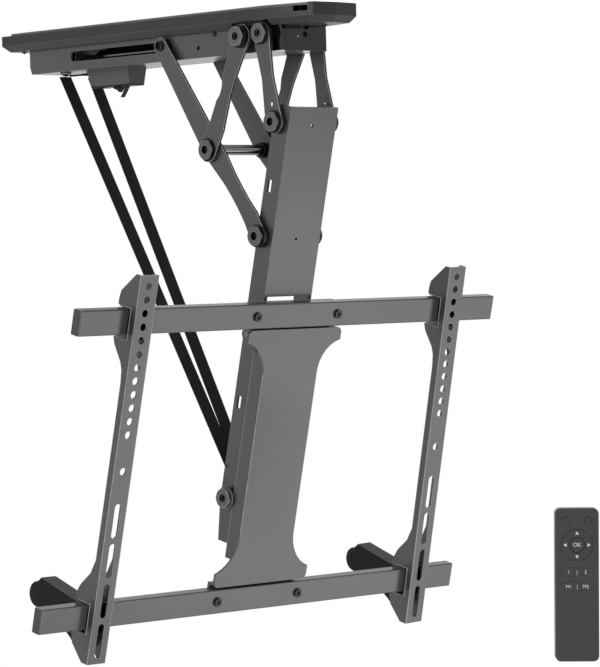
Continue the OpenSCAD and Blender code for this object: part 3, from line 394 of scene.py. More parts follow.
class Finishes:
    """All finishes of the mount, by name."""

    ROWS = (
        Finish("grey_coat", "grey_coat", grey(70, -0.02), 0.26, 0.5, 0.03, bump_mm=0.004),
        # The plates' cut edges, darkened as painted shade
        Finish("plate_edge_shade", "grey_coat", grey(18), 0.35, 0.9, 0.0, specular=0.25, bump_mm=0.004),
        Finish("arm_liner", "grey_coat", grey(18), 0.45, 0.4, 0.0, Feel.MOULDED, specular=0.15),
        Finish("zinc_pin", "grey_coat", grey(110), 0.3, 0.3, 0.1, Feel.BRUSHED, 1.0),
        Finish("cap_coat", "cap_coat", grey(82, -0.02), 0.28, 0.5, 0.03, bump_mm=0.006),
        # Painted shade in the sockets of the pivot caps
        Finish("cap_socket_shade", "cap_coat", grey(8), 0.5, 0.0, 0.0, specular=0.1),
        Finish("foot_washer", "cap_coat", grey(16), 0.4, 0.4, 0.0, Feel.MOULDED, specular=0.15),
        Finish("bar_bolt_black", "cap_coat", grey(22), 0.35, 0.4, 0.0, specular=0.3),
        # Finishes of the rounded edges: lighter tones as a painted highlight, and a darker one on the keys
        Finish("coat_rim_highlight", "grey_coat", grey(150, -0.02), 0.22, 0.2, 0.0, bump_mm=0.004),
        Finish("cap_rim_highlight", "cap_coat", grey(120, -0.02), 0.26, 0.2, 0.0, bump_mm=0.004),
        # Painted shade on the flanks of the pivot caps
        Finish("cap_side_shade", "cap_coat", grey(16), 0.35, 0.3, 0.0, bump_mm=0.004, specular=0.3),
        Finish("shell_rim_highlight", "grey_shell", grey(98, -0.01), 0.36, 0.1, 0.0, Feel.MOULDED),
        Finish("box_rim_highlight", "grey_coat", grey(150, -0.02), 0.3, 0.1, 0.0, bump_mm=0.004),
        Finish("end_rim_highlight", "black_plastic", grey(120), 0.3, 0.1, 0.0, Feel.MOULDED),
        Finish("lever_rim_highlight", "lever_plastic", grey(110), 0.3, 0.1, 0.0, Feel.MOULDED),
        Finish("remote_rim_highlight", "remote_plastic", grey(84), 0.34, 0.1, 0.1,
               Feel.MOULDED, fine=3000.0, bump_mm=0.004),
        Finish("key_rim", "key_rubber", grey(26), 0.42, 0.0, 0.1,
               Feel.MOULDED, fine=3000.0, bump_mm=0.004, specular=0.2),
        Finish("end_plastic", "black_plastic", grey(66), 0.36, 0.5, 0.0, Feel.MOULDED, specular=0.3),
        Finish("plain_steel", "plain_steel", grey(90), 0.45, 0.3, 0.2),
        Finish("zinc", "zinc", grey(110), 0.36, 0.1, 0.0, Feel.BRUSHED, 0.8),
        Finish("dark_screw", "zinc", grey(34), 0.35, 0.2, 0.1, Feel.BRUSHED, 0.4, specular=0.3),
        Finish("cover_screw", "zinc", grey(34), 0.4, 0.3, 0.0, bump_mm=0.006, specular=0.2),
        Finish("bright_steel", "bright_steel", grey(105), 0.16, 0.1, 0.0, Feel.BRUSHED, 1.0, bump_mm=0.002),
        Finish("pin_head", "bright_steel", grey(26), 0.3, 0.5, 0.0, specular=0.3),
        # Painted shade in the sockets of the slider pins
        Finish("pin_socket_shade", "bright_steel", grey(8), 0.6, 0.0, 0.0, specular=0.1),
        Finish("cast_alloy", "cast_alloy", grey(120), 0.5, 0.3, 0.1,
               Feel.POWDER, 1.0, fine=900.0, bump_mm=0.03),
        Finish("brass", "brass", (0.62, 0.44, 0.19), 0.28, 0.3, 0.1, Feel.BRUSHED, 1.0),
        Finish("grey_shell", "grey_shell", grey(58, -0.01), 0.38, 0.3, 0.1,
               Feel.MOULDED, bump_mm=0.012, specular=0.15),
        Finish("black_gloss", "black_gloss", grey(10), 0.08, 0.3, 0.0, Feel.SMOOTH, specular=0.35),
        Finish("red_lens", "red_lens", (0.75, 0.02, 0.07), 0.12, 0.0, 0.0, Feel.SMOOTH, coat=0.5),
        Finish("black_plastic", "black_plastic", grey(18), 0.4, 0.5, 0.0, Feel.MOULDED, specular=0.15),
        Finish("box_coat", "grey_coat", grey(92, -0.02), 0.34, 0.5, 0.0, specular=0.2, bump_mm=0.006),
        Finish("box_lead", "grey_coat", grey(16), 0.5, 0.2, 0.0, Feel.MOULDED, specular=0.15),
        Finish("motor_black", "motor_black", grey(40), 0.4, 0.3, 0.1, bump_mm=0.01, specular=0.3),
        Finish("lever_plastic", "lever_plastic", grey(16), 0.34, 0.4, 0.1,
               Feel.MOULDED, bump_mm=0.01, specular=0.12),
        Finish("webbing", "webbing", grey(38), 0.8, 0.0, 0.0, Feel.WOVEN, bump_mm=0.12, specular=0.1),
        Finish("stitches", "webbing", grey(60), 0.6, 0.0, 0.0, Feel.SMOOTH, specular=0.2),
        Finish("remote_plastic", "remote_plastic", grey(44), 0.34, 0.5, 0.1,
               Feel.MOULDED, fine=3000.0, bump_mm=0.006),
        Finish("circuit", "circuit", (0.02, 0.16, 0.06), 0.35, 0.3, 0.1, Feel.SMOOTH),
        Finish("key_rubber", "key_rubber", grey(40), 0.42, 0.5, 0.1,
               Feel.MOULDED, fine=3000.0, bump_mm=0.006),
        Finish("key_print", "key_rubber", grey(225), 0.6, 0.0, 0.0, Feel.SMOOTH),
        Finish("key_ring_edge", "key_rubber", grey(12), 0.5, 0.0, 0.0, Feel.SMOOTH, specular=0.1),
    )

    def __init__(self, parts: ShaderParts) -> None:
        """Builds the material of each finish."""
        self.materials = {row.name: row.build(parts) for row in self.ROWS}
        self.slots = {row.name: row.slot for row in self.ROWS}
        self.of_nodes = {entry["node"]: entry["material_slot"] for entry in frame["record"]["subparts"]}


def body_of(node: str) -> str:
    """The body that carries a CAD node."""
    return frame["nodes"][node]["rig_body"]


def new_piece(name: str, data: bpy.types.ID) -> Piece:
    """Links a mesh or other data to the scene, at the origin."""
    piece = bpy.data.objects.new(name, data)
    bpy.context.scene.collection.objects.link(piece)
    return piece


def mesh_of(form: bmesh.types.BMesh, name: str) -> Mesh:
    """Writes a form to a new mesh and frees the form."""
    mesh = bpy.data.meshes.new(name)
    form.to_mesh(mesh)
    form.free()
    return mesh


def baked(piece: Piece) -> Mesh:
    """The plain mesh of a piece with live modifiers, or of a text."""
    bpy.context.view_layer.update()
    graph = bpy.context.evaluated_depsgraph_get()
    return bpy.data.meshes.new_from_object(piece.evaluated_get(graph), depsgraph=graph)


def shade_by_angle(mesh: Mesh, degrees: float = 30.0) -> None:
    """Smooths a mesh but for edges sharper than an angle."""
    mesh.polygons.foreach_set("use_smooth", [True] * len(mesh.polygons))
    mesh.set_sharp_from_angle(angle=math.radians(degrees))


def apply_modifiers(piece: Piece) -> None:
    """Turns a piece with live modifiers into a plain mesh."""
    mesh = baked(piece)
    piece.modifiers.clear()
    piece.data = mesh


def is_torn(piece: Piece) -> bool:
    """Tells whether a piece's modifiers make faces that cross themselves.

    Args:
        piece: the piece with its modifiers.

    Returns:
        True when the triangles of its faces cover more than the faces' own area.
    """
    shaped = piece.evaluated_get(bpy.context.evaluated_depsgraph_get()).data
    shaped.calc_loop_triangles()
    covered = [0.0] * len(shaped.polygons)
    for triangle in shaped.loop_triangles:
        covered[triangle.polygon_index] += triangle.area
    surplus = sum(abs(area - face.area) for area, face in zip(covered, shaped.polygons))
    return surplus > TORN_SHARE * sum(covered)


@dataclass(frozen=True)
class Workshop:
    """What the sub-assemblies share: the finishes, and ways to make and place pieces."""

    finishes: Finishes
    bend_length_mm: float = 45.0
    sharp_degrees: float = 30.0
    merge_mm: float = 0.01
    flat_degrees: float = 0.5
    face_weight: int = 100

    def coat(self, mesh: Mesh, coats: Sequence[str]) -> None:
        """Gives a bare mesh its finishes, in order."""
        for coat in coats:
            mesh.materials.append(self.finishes.materials[coat])

    def dress(self, piece: Piece, coats: Sequence[str], body: str, *nodes: str) -> None:
        """Gives a piece its materials and its body.

        Args:
            piece: the piece.
            coats: the finishes' names, by material index.
            body: the body that it rides.
            nodes: the CAD nodes that it stands for.
        """
        if not piece.data.materials:
            self.coat(piece.data, coats)
        if nodes:
            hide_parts(*nodes)
        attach(piece, body)
        LOG.info("%s: %d faces on %s", piece.name, len(piece.data.polygons), body)

    def _fit_rounding(self, piece: Piece, rounding: bpy.types.Modifier) -> None:
        """Keeps the rounding as wide as its faces bear: on all edges, on the widest ones, or clamped.

        Args:
            piece: the piece with its rounding, not applied yet.
            rounding: the bevel modifier.
        """
        rounding.use_clamp_overlap = False
        if not is_torn(piece):
            return
        weights = piece.data.attributes["bevel_weight_edge"].data
        kept = [weight.value for weight in weights]
        for weight in weights:
            weight.value = weight.value if weight.value > FULL_WEIGHT else 0.0
        piece.data.update()
        if any(value > FULL_WEIGHT for value in kept) and not is_torn(piece):
            LOG.info("%s is rounded on its bends only", piece.name)
            return
        for weight, value in zip(weights, kept):
            weight.value = value
        piece.data.update()
        rounding.use_clamp_overlap = True
        LOG.info("%s has a clamped rounding", piece.name)

    def soften(
        self,
        node: str,
        edge_mm: float,
        bend_mm: float = 0.0,
        coats: Sequence[str] = (),
        paint: Painter | None = None,
        segments: int = 2,
    ) -> Piece:
        """Stands a copy of a CAD node with rounded edges in its place.

        Args:
            node: the CAD node.
            edge_mm: the radius of the rounding on its edges.
            bend_mm: the radius along its long bends, or nothing for the same.
            coats: the finishes, or nothing for the node's own.
            paint: gives the index of a face's finish from its corners.
            segments: the steps across the rounding.

        Returns:
            The new piece, riding on the node's body.
        """
        form = bmesh.new()
        form.from_mesh(frame["nodes"][node].data)
        bmesh.ops.remove_doubles(form, verts=form.verts, dist=self.merge_mm * MM)
        flat = math.radians(self.flat_degrees)
        bmesh.ops.dissolve_limit(form, angle_limit=flat, verts=form.verts, edges=form.edges)
        if paint:
            for face in form.faces:
                face.material_index = paint(face)
        widest = max(edge_mm, bend_mm)
        weight = form.edges.layers.float.new("bevel_weight_edge")
        for edge in form.edges:
            if len(edge.link_faces) == 2 and edge.calc_face_angle(0.0) > math.radians(self.sharp_degrees):
                bend = bend_mm and edge.calc_length() > self.bend_length_mm * MM
                edge[weight] = (bend_mm if bend else edge_mm) / widest
        name = f"{node}_shape"
        mesh = mesh_of(form, name)
        piece = new_piece(name, mesh)
        rounding = piece.modifiers.new("rounding", "BEVEL")
        rounding.width = widest * MM
        rounding.segments = segments
        rounding.limit_method = "WEIGHT"
        layers = list(coats or (self.finishes.of_nodes[node],))
        # The rounded edges take their rim finish, a painted highlight on most finishes
        if layers[0] in RIMS:
            rounding.material = len(layers)
            layers.append(RIMS[layers[0]])
        self.coat(mesh, layers)
        self._fit_rounding(piece, rounding)
        apply_modifiers(piece)
        shade_by_angle(piece.data, self.sharp_degrees)
        normals = piece.modifiers.new("flat faces", "WEIGHTED_NORMAL")
        normals.weight, normals.keep_sharp = self.face_weight, True
        apply_modifiers(piece)
        self.dress(piece, layers, body_of(node), node)
        return piece


class Repeater:
    """Geometry Nodes that stand a small template on many points."""

    INPUTS = (("Points", "Geometry"), ("Template", "Object"), ("Finish", "Material"),
              ("Spin", "Float"), ("Seed", "Int"))

    def __init__(self) -> None:
        """Builds the tree once, with named inputs."""
        self.tree = bpy.data.node_groups.new("repeat on points", "GeometryNodeTree")
        face = self.tree.interface
        self.sockets = {
            label: face.new_socket(label, in_out="INPUT", socket_type=f"NodeSocket{kind}")
            for label, kind in self.INPUTS
        }
        face.new_socket("Result", in_out="OUTPUT", socket_type="NodeSocketGeometry")
        writer = NodeWriter(self.tree)
        given = writer.add("NodeGroupInput").outputs
        template = writer.add("GeometryNodeObjectInfo", {"Object": given["Template"]})
        facing, along = (
            writer.add("GeometryNodeInputNamedAttribute", {"Name": label}, data_type="FLOAT_VECTOR")
            for label in ("facing", "along"))
        turn = "FunctionNodeAlignRotationToVector"
        outward = writer.add(turn, {"Vector": facing.outputs["Attribute"]}, axis="Z").outputs["Rotation"]
        inputs = {"Rotation": outward, "Vector": along.outputs["Attribute"]}
        lined = writer.add(turn, inputs, axis="X", pivot_axis="Z")
        stand = writer.add("GeometryNodeInstanceOnPoints", {
            "Points": given["Points"],
            "Instance": template.outputs["Geometry"],
            "Rotation": lined.outputs["Rotation"],
        })
        inputs = {"Seed": given["Seed"], 3: given["Spin"]}
        chance = writer.add("FunctionNodeRandomValue", inputs, data_type="FLOAT")
        angle = writer.add("ShaderNodeCombineXYZ", {"Z": chance.outputs[1]})
        inputs = {"Instances": stand.outputs["Instances"], "Rotation": angle.outputs["Vector"]}
        spun = writer.add("GeometryNodeRotateInstances", inputs)
        real = writer.add("GeometryNodeRealizeInstances", {"Geometry": spun.outputs["Instances"]})
        inputs = {"Geometry": real.outputs["Geometry"], "Material": given["Finish"]}
        coat = writer.add("GeometryNodeSetMaterial", inputs)
        writer.add("NodeGroupOutput", {"Result": coat.outputs["Geometry"]})

    def repeat(
        self,
        name: str,
        template: Piece,
        places: Sequence[tuple[Vector, Vector, Vector]],
        finish: bpy.types.Material,
        spin: float = 0.0,
        seed: int = 7,
    ) -> Piece:
        """Makes one plain mesh with the template on each place.

        Args:
            name: the piece's name.
            template: the shape to repeat, which is deleted at the end.
            places: for each copy its point, the way that it faces and the way of its own X.
            finish: its material.
            spin: the most that a copy is turned about its axis, in radians.
            seed: the seed of that turn.

        Returns:
            The piece.
        """
        mesh = bpy.data.meshes.new(name)
        mesh.from_pydata([p[0] for p in places], [], [])
        for k, label in ((1, "facing"), (2, "along")):
            layer = mesh.attributes.new(label, "FLOAT_VECTOR", "POINT")
            layer.data.foreach_set("vector", [c for p in places for c in p[k]])
        piece = new_piece(name, mesh)
        modifier = piece.modifiers.new("repeat", "NODES")
        modifier.node_group = self.tree
        for label, value in (("Template", template), ("Finish", finish), ("Spin", spin), ("Seed", seed)):
            modifier[self.sockets[label].identifier] = value
        apply_modifiers(piece)
        bpy.data.objects.remove(template)
        return piece


def lathe(name: str, profile: Sequence[Pair], steps: int) -> Piece:
    """Turns a profile about Z, closed where it meets the axis.

    Args:
        name: the object's name.
        profile: radius and height of each point in millimetres, from the bottom up.
        steps: the faces round it.

    Returns:
        The object.
    """
    form = bmesh.new()
    rings = []
    for radius, height in profile:
        if radius == 0:
            rings.append([form.verts.new((0, 0, height * MM))])
            continue
        turns = (math.tau * k / steps for k in range(steps))
        points = (Vector((radius * math.cos(a), radius * math.sin(a), height)) for a in turns)
        rings.append([form.verts.new(point * MM) for point in points])
    for low, high in zip(rings, rings[1:]):
        for k in range(steps):
            n = (k + 1) % steps
            corners = [low[k], low[n], high[n], high[k]] if len(low) > 1 and len(high) > 1 else (
                [low[k], low[n], high[0]] if len(low) > 1 else [low[0], high[n], high[k]])
            form.faces.new(corners)
    bmesh.ops.recalc_face_normals(form, faces=form.faces)
    mesh = mesh_of(form, name)
    shade_by_angle(mesh)
    return new_piece(name, mesh)


@dataclass(frozen=True)
class PanScrew:
    """A pan head with a cross recess, facing up from the origin."""

    radius_mm: float
    height_mm: float
    recess_mm: float = 1.1
    cross_shares: Pair = (1.25, 0.26)
    steps: int = 28

    def build(self) -> Piece:
        """Makes the head by turning its profile and cutting the cross."""
        r, h = self.radius_mm, self.height_mm
        profile = ((0, 0), (r, 0), (r, 0.35 * h), (0.86 * r, 0.75 * h), (0.5 * r, h), (0, h))
        head = lathe("screw_head", profile, self.steps)
        for turn in (0, 90):
            form = bmesh.new()
            bmesh.ops.create_cube(form, size=1.0)
            blade = mesh_of(form, "recess")
            size = (self.cross_shares[0] * r, self.cross_shares[1] * r, 2 * self.recess_mm)
            stretch = Matrix.Diagonal((*(c * MM for c in size), 1))
            blade.transform(shifted(0, 0, h) @ turned(turn, "Z") @ stretch)
            tool = new_piece("recess", blade)
            cut = head.modifiers.new("recess", "BOOLEAN")
            cut.operation, cut.solver, cut.object = "DIFFERENCE", "EXACT", tool
            apply_modifiers(head)
            bpy.data.objects.remove(tool)
        shade_by_angle(head.data)
        return head


@dataclass(frozen=True)
class CoverAssembly:
    """The plastic cover in two halves, its screws and the ceiling plate above it."""

    shop: Workshop
    repeater: Repeater
    screw_places_mm: tuple[Pair, ...] = ((18, -224), (-18, -224), (34, 238), (-34, 238))
    screw: PanScrew = PanScrew(3.2, 2.0)
    screw_spin: float = 1.2
    screw_seed: int = 5
    plate_edge_mm: float = 0.4
    edge_mm: float = 0.5
    bend_mm: float = 1.2

    def build(self) -> None:
        """Rounds the halves and seats the screws."""
        for node in ("cover_left", "cover_right"):
            self.shop.soften(node, self.edge_mm, self.bend_mm)
        self.shop.soften("ceiling_plate", self.plate_edge_mm)
        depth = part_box("cover_left")[0][2]
        places = [(Vector((x * MM, y * MM, depth)), -UP, ACROSS) for x, y in self.screw_places_mm]
        finish = self.shop.finishes.materials["cover_screw"]
        heads = self.repeater.repeat(
            "cover_screw_heads", self.screw.build(), places, finish, self.screw_spin, self.screw_seed)
        self.shop.dress(heads, ["cover_screw"], body_of("cover_screws"), "cover_screws")


@dataclass(frozen=True)
class RailAssembly:
    """The rail with its glossy end cap, control box, drive and strap knobs."""

    shop: Workshop
    repeater: Repeater
    edge_mm: float = 0.3
    bend_mm: float = 1.0
    cap_bend_mm: float = 0.7
    edges_mm: Edges = (
        ("status_led", 0.25), ("power_socket", 0.25), ("rail_screws", 0.25), ("control_box", 0.5),
        ("control_box_lid", 0.4), ("drive_motor", 0.5), ("gearbox", 0.5), ("screw_bearing", 0.5),
        ("slider_block", 0.5), ("slider_nut", 0.5), ("slider_pins", 0.3), ("strap_knobs", 0.25))
    wall_mm: float = 34.9
    lead_at_mm: Pair = (-8, -54)
    lead_radius_mm: float = 3.4
    lead_rear_mm: Pair = (138, 146.8)
    pin_at_mm: Pair = (-16, -33)
    pin_socket_mm: Pair = (4.5, 43.9)
    knob_at_mm: Triple = (21, 178, -50.5)
    knob_radius_mm: float = 6.5
    rim_mm: float = 1.6
    ribs: int = 26
    rib_steps: int = 8
    rib_sunk_mm: float = 0.15
    rib_profile: tuple[Pair, ...] = ((0, -0.7), (0.3, -0.7), (0.42, -0.4), (0.42, 0.4), (0.3, 0.7), (0, 0.7))

    def build(self) -> None:
        """Rounds the rail's pieces and dresses what it carries."""
        soften = self.shop.soften
        soften("rail_channel", self.edge_mm, self.bend_mm)
        soften("rail_end_cap", self.edge_mm, self.cap_bend_mm, segments=3)
        painted = {
            "rail_screws": {"coats": ("zinc", "dark_screw"), "paint": self._screw_paint},
            "control_box": {"coats": ("box_coat", "box_lead"), "paint": self._box_paint, "segments": 3},
            "slider_pins": {"coats": ("pin_head", "pin_socket_shade"), "paint": self._pin_paint},
        }
        for node, edge in self.edges_mm:
            soften(node, edge, **painted.get(node, {}))
        self._knurls()

    def _screw_paint(self, face: Face) -> int:
        """The dark finish on the heads in the rail's sides."""
        return int(all(abs(v.co.x) > self.wall_mm * MM for v in face.verts))

    def _box_paint(self, face: Face) -> int:
        """The lead's black on what lies about its line behind the box."""
        x, z = self.lead_at_mm
        start, clear = (depth * MM for depth in self.lead_rear_mm)
        for v in face.verts:
            near = math.hypot(v.co.x / MM - x, v.co.z / MM - z) < self.lead_radius_mm
            if not (v.co.y > clear or (near and v.co.y > start)):
                return 0
        return 1

    def _pin_paint(self, face: Face) -> int:
        """Painted shade in the socket in the outer end of each slider pin."""
        y, z = (c * MM for c in self.pin_at_mm)
        radius, outer = (c * MM for c in self.pin_socket_mm)
        rims = [math.hypot(v.co.y - y, v.co.z - z) < radius for v in face.verts]
        return int(all(rims) and all(abs(v.co.x) > outer for v in face.verts))

    def _knurls(self) -> None:
        """Small upright ribs round both strap knobs."""
        rib = lathe("knurl", self.rib_profile, self.rib_steps)
        x, y, z = self.knob_at_mm
        places = []
        for side in (-1, 1):
            for k in range(self.ribs):
                turn = math.tau * k / self.ribs
                out = Vector((math.cos(turn), math.sin(turn), 0))
                reach = self.knob_radius_mm - self.rib_sunk_mm
                middle = Vector((side * x, y, z - self.rim_mm / 2)) + out * reach
                places.append((middle * MM, UP, out))
        knurls = self.repeater.repeat("knob_knurls", rib, places, self.shop.finishes.materials["zinc"])
        shade_by_angle(knurls.data)
        self.shop.dress(knurls, ["zinc"], body_of("strap_knobs"))


@dataclass(frozen=True)
class Linkage:
    """The flat arms and links, and the rods, caps and washers of their pivots."""

    shop: Workshop
    plates: tuple[str, ...] = ("drive_arm", "swing_link", "stay_link")
    plate_edge_mm: float = 0.45
    cap_edge_mm: float = 0.45
    washer_edge_mm: float = 0.5
    rod_edge_mm: float = 0.3
    socket_mm: float = 4.95
    sleeve_half_mm: float = 37.0
    washers_mm: Pair = (36.6, 44.6)
    cap_coats: tuple[str, ...] = ("cap_coat", "cap_socket_shade", "cap_side_shade")
    pivots_mm: tuple[Pair, ...] = (
        (-156, -32), (-184, -30), (-96, -156), (-168.98, -255.96), (-200.4, -129.8), (-103.9, -550.7))

    def build(self) -> None:
        """Rounds the plates, with painted shade on their cut edges, and paints and rounds the pivots, with
        painted shade in their sockets and round their flanks.
        """
        for plate in self.plates:
            for side in ("left", "right"):
                coats = ("grey_coat", "plate_edge_shade")
                self.shop.soften(f"{plate}_{side}", self.plate_edge_mm, coats=coats, paint=self._edge_shade_paint)
        for node in ("rail_axle_caps", "column_pin_caps", "cross_tube_caps", "stay_bolts"):
            self.shop.soften(node, self.cap_edge_mm, coats=self.cap_coats, paint=self._cap_paint, segments=3)
        coats = (*self.cap_coats, "bright_steel", "foot_washer")
        self.shop.soften("strap_bolt", self.cap_edge_mm, coats=coats, paint=self._foot_paint, segments=3)
        for node in ("rail_axle_washers", "column_pin_washers", "cross_tube_washers", "stay_washers"):
            self.shop.soften(node, self.washer_edge_mm)
        for node in ("rail_axles", "column_pin", "cross_tube", "lead_screw"):
            self.shop.soften(node, self.rod_edge_mm)

    @staticmethod
    def _edge_shade_paint(face: Face) -> int:
        """The cut edges of a plate, darkened as painted shade."""
        return int(abs(face.normal.x) < 0.5)

    def _radius(self, point: Vector) -> float:
        """Distance in millimetres to the nearest pivot axis."""
        return min(math.hypot(point.y / MM - y, point.z / MM - z) for y, z in self.pivots_mm)

    def _cap_paint(self, face: Face) -> int:
        """Painted shade inside a head's socket and round its flanks."""
        if all(self._radius(v.co) < self.socket_mm for v in face.verts):
            return 1
        return 2 if abs(face.normal.x) < 0.5 else 0

    def _foot_paint(self, face: Face) -> int:
        """The finishes of the bolt at the column's foot: heads, sleeve and washers, with painted shade in
        the sockets and round the heads' flanks.
        """
        across = [abs(v.co.x) / MM for v in face.verts]
        if max(across) < self.sleeve_half_mm:
            return 3
        if min(across) > self.washers_mm[0] and max(across) < self.washers_mm[1]:
            return 4
        return self._cap_paint(face)


@dataclass(frozen=True)
class ColumnAssembly:
    """The column, its centre plate, the two screen bars and their bolts."""

    shop: Workshop
    edge_mm: float = 0.35
    bend_mm: float = 1.3
    plate_bend_mm: float = 1.2
    pad_edge_mm: float = 0.3
    bar_mm: Pair = (0.2, 0.3)
    small_edge_mm: float = 0.4
    ear_mm: Pair = (51.5, -30)
    ear_pin_mm: float = 3.4

    def build(self) -> None:
        """Rounds the column's pieces."""
        soften = self.shop.soften
        soften("column_channel", self.edge_mm, self.bend_mm, segments=3)
        soften("centre_plate", self.edge_mm, self.plate_bend_mm, segments=3)
        soften("spacer_pad", self.pad_edge_mm)
        for node in ("top_bar", "lower_bar"):
            soften(node, *self.bar_mm)
        soften("bar_end_caps", self.small_edge_mm, coats=("end_plastic",), segments=3)
        soften("bar_bolts", self.small_edge_mm, coats=("bar_bolt_black",), segments=3)
        coats = ("cap_coat", "bright_steel")
        soften("column_bolts", self.small_edge_mm, coats=coats, paint=self._ear_paint)

    def _ear_paint(self, face: Face) -> int:
        """The bright pin through the column's ears."""
        local = [COLUMN.inverted() @ v.co / MM for v in face.verts]
        y, z = self.ear_mm
        return int(all(math.hypot(p.y - y, p.z - z) < self.ear_pin_mm for p in local))


@dataclass(frozen=True)
class ScreenArms:
    """The two screen arms with their liners, and the lock levers behind the lower bar."""

    shop: Workshop
    edge_mm: float = 0.3
    bend_mm: float = 1.0
    lever_edge_mm: float = 0.8
    lower_mm: float = -330.8
    hook_depth_mm: Pair = (8.3, 27.8)
    hook_height_mm: Pair = (-19.7, 16.2)
    pin_at_mm: Pair = (22.0, -362.0)
    pin_radius_mm: float = 2.6

    def build(self) -> None:
        """Rounds both arms and levers."""
        for side in SPLAYS:
            paint = self._painter(screen_arm_frame(side).inverted())
            coats = ("grey_coat", "arm_liner", "zinc_pin")
            self.shop.soften(f"screen_arm_{side}", self.edge_mm, self.bend_mm, coats, paint)
            self.shop.soften(f"lock_lever_{side}", self.lever_edge_mm, segments=3)

    def _painter(self, to_arm: Matrix) -> Painter:
        """Finds an arm's liners and lever pin.

        Args:
            to_arm: takes a point to the arm's own frame.

        Returns:
            What gives the index of a face's finish.
        """

        def paint(face: Face) -> int:
            """Liner, pin or plate."""
            local = [to_arm @ v.co / MM for v in face.verts]
            y, z = self.pin_at_mm
            if all(math.hypot(p.y - y, p.z - z) < self.pin_radius_mm for p in local):
                return 2
            front, rear = self.hook_depth_mm
            for base in (0.0, self.lower_mm):
                low, high = (base + height for height in self.hook_height_mm)
                if all(front < p.y < rear and low < p.z < high for p in local):
                    return 1
            return 0

        return paint


@dataclass(frozen=True)
class Run:
    """The straight run of a strap: the middles of both ends, and half of its width."""

    start: Vector
    end: Vector
    half: float

    @property
    def span(self) -> Vector:
        """From the upper end to the lower one."""
        return self.end - self.start

    @property
    def face(self) -> Vector:
        """The way that one of the two faces looks."""
        return ACROSS.cross(self.span).normalized()


@dataclass(frozen=True)
class Webbing:
    """The two flat straps that catch the column, woven, with stitched ends."""

    shop: Workshop
    repeater: Repeater
    nodes: tuple[str, str] = ("strap_left", "strap_right")
    rows: int = 60
    columns: int = 8
    thick_mm: float = 1.5
    edge_share: float = 0.55
    edge_power: int = 6
    end_mm: float = 3.0
    smooth_degrees: float = 50.0
    fold_keep: float = 0.072
    stitch_rows_mm: tuple[float, ...] = (7.0, 10.5, 24.0, 27.5)
    stitch_step_mm: float = 1.9
    stitch_inset_mm: float = 1.5
    stitch_steps: int = 6
    stitch_profile: tuple[Pair, ...] = ((0, -0.65), (0.2, -0.5), (0.24, 0), (0.2, 0.5), (0, 0.65))

    def build(self) -> None:
        """Makes both straps."""
        for node in self.nodes:
            self._strap(node)

    def _strap(self, node: str) -> None:
        """Makes one strap along its CAD solid.

        Args:
            node: the strap's CAD node.
        """
        points = [v.co.copy() for v in frame["nodes"][node].data.vertices]
        high, low = max(p.z for p in points), min(p.z for p in points)
        top = [p for p in points if p.z > high - self.end_mm * MM]
        foot = [p for p in points if p.z < low + self.end_mm * MM]
        start, end = sum(top, Vector()) / len(top), sum(foot, Vector()) / len(foot)
        run = Run(start, end, max(abs(p.x - start.x) for p in top))
        name = f"{node}_webbing"
        piece = new_piece(name, self._band(name, run))
        stitches = self._stitches(node, run)
        for part, coat in ((piece, "webbing"), (stitches, "stitches")):
            tuple(start)
            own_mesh(part)
            self.shop.dress(part, [coat], body_of(node), *([node] if part is piece else []))

    def _band(self, name: str, run: Run) -> Mesh:
        """A closed band, thinner along its edges, with its own weave map.

        Args:
            name: the mesh's name.
            run: where the strap runs.

        Returns:
            The mesh.
        """
        form = bmesh.new()
        layers = []
        for sign in (-1, 1):
            layer = []
            for row in range(self.rows + 1):
                centre = run.start + run.span * (row / self.rows)
                line = []
                for column in range(self.columns + 1):
                    across = 2 * column / self.columns - 1
                    belly = (1 - self.edge_share) * (1 - abs(across) ** self.edge_power)
                    thick = self.thick_mm * MM / 2 * (self.edge_share + belly)
                    aside = ACROSS * run.half * across + run.face * sign * thick
                    line.append(form.verts.new(centre + aside))
                layer.append(line)
            layers.append(layer)
        uv = form.loops.layers.uv.new("weave")
        wide, long = 2 * run.half / MM, run.span.length / MM

        def face(corners: Sequence[tuple[int, int, int]]) -> None:
            """Adds one face between places given as layer, row and column."""
            made = form.faces.new([layers[s][r][c] for s, r, c in corners])
            for loop, (_, r, c) in zip(made.loops, corners):
                loop[uv].uv = (c / self.columns * wide, r / self.rows * long)

        for r in range(self.rows):
            for c in range(self.columns):
                for s in (0, 1):
                    face([(s, r, c), (s, r, c + 1), (s, r + 1, c + 1), (s, r + 1, c)])
            for c in (0, self.columns):
                face([(0, r, c), (0, r + 1, c), (1, r + 1, c), (1, r, c)])
        for r in (0, self.rows):
            for c in range(self.columns):
                face([(0, r, c), (0, r, c + 1), (1, r, c + 1), (1, r, c)])
        bmesh.ops.recalc_face_normals(form, faces=form.faces)
        mesh = mesh_of(form, name)
        shade_by_angle(mesh, self.smooth_degrees)
        return mesh

    def _stitches(self, node: str, run: Run) -> Piece:
        """Rows of stitches across both faces near both ends.

        Args:
            node: the strap's CAD node.
            run: where the strap runs.

        Returns:
            The stitches as one piece.
        """
        way_down, face = run.span.normalized(), run.face
        count = int(2 * (run.half / MM - self.stitch_inset_mm) / self.stitch_step_mm)
        places = []
        for origin, way in ((run.start, way_down), (run.end, -way_down)):
            for row in self.stitch_rows_mm:
                for k in range(count + 1):
                    along = (k - count / 2) * self.stitch_step_mm
                    for sign in (-1, 1):
                        aside = ACROSS * along + face * sign * self.thick_mm / 2
                        places.append((origin + (way * row + aside) * MM, face * sign, ACROSS))
        stitch = lathe("stitch", self.stitch_profile, self.stitch_steps)
        stitch.data.transform(turned(90, "Y"))
        finish = self.shop.finishes.materials["stitches"]
        return self.repeater.repeat(f"{node}_stitches", stitch, places, finish)


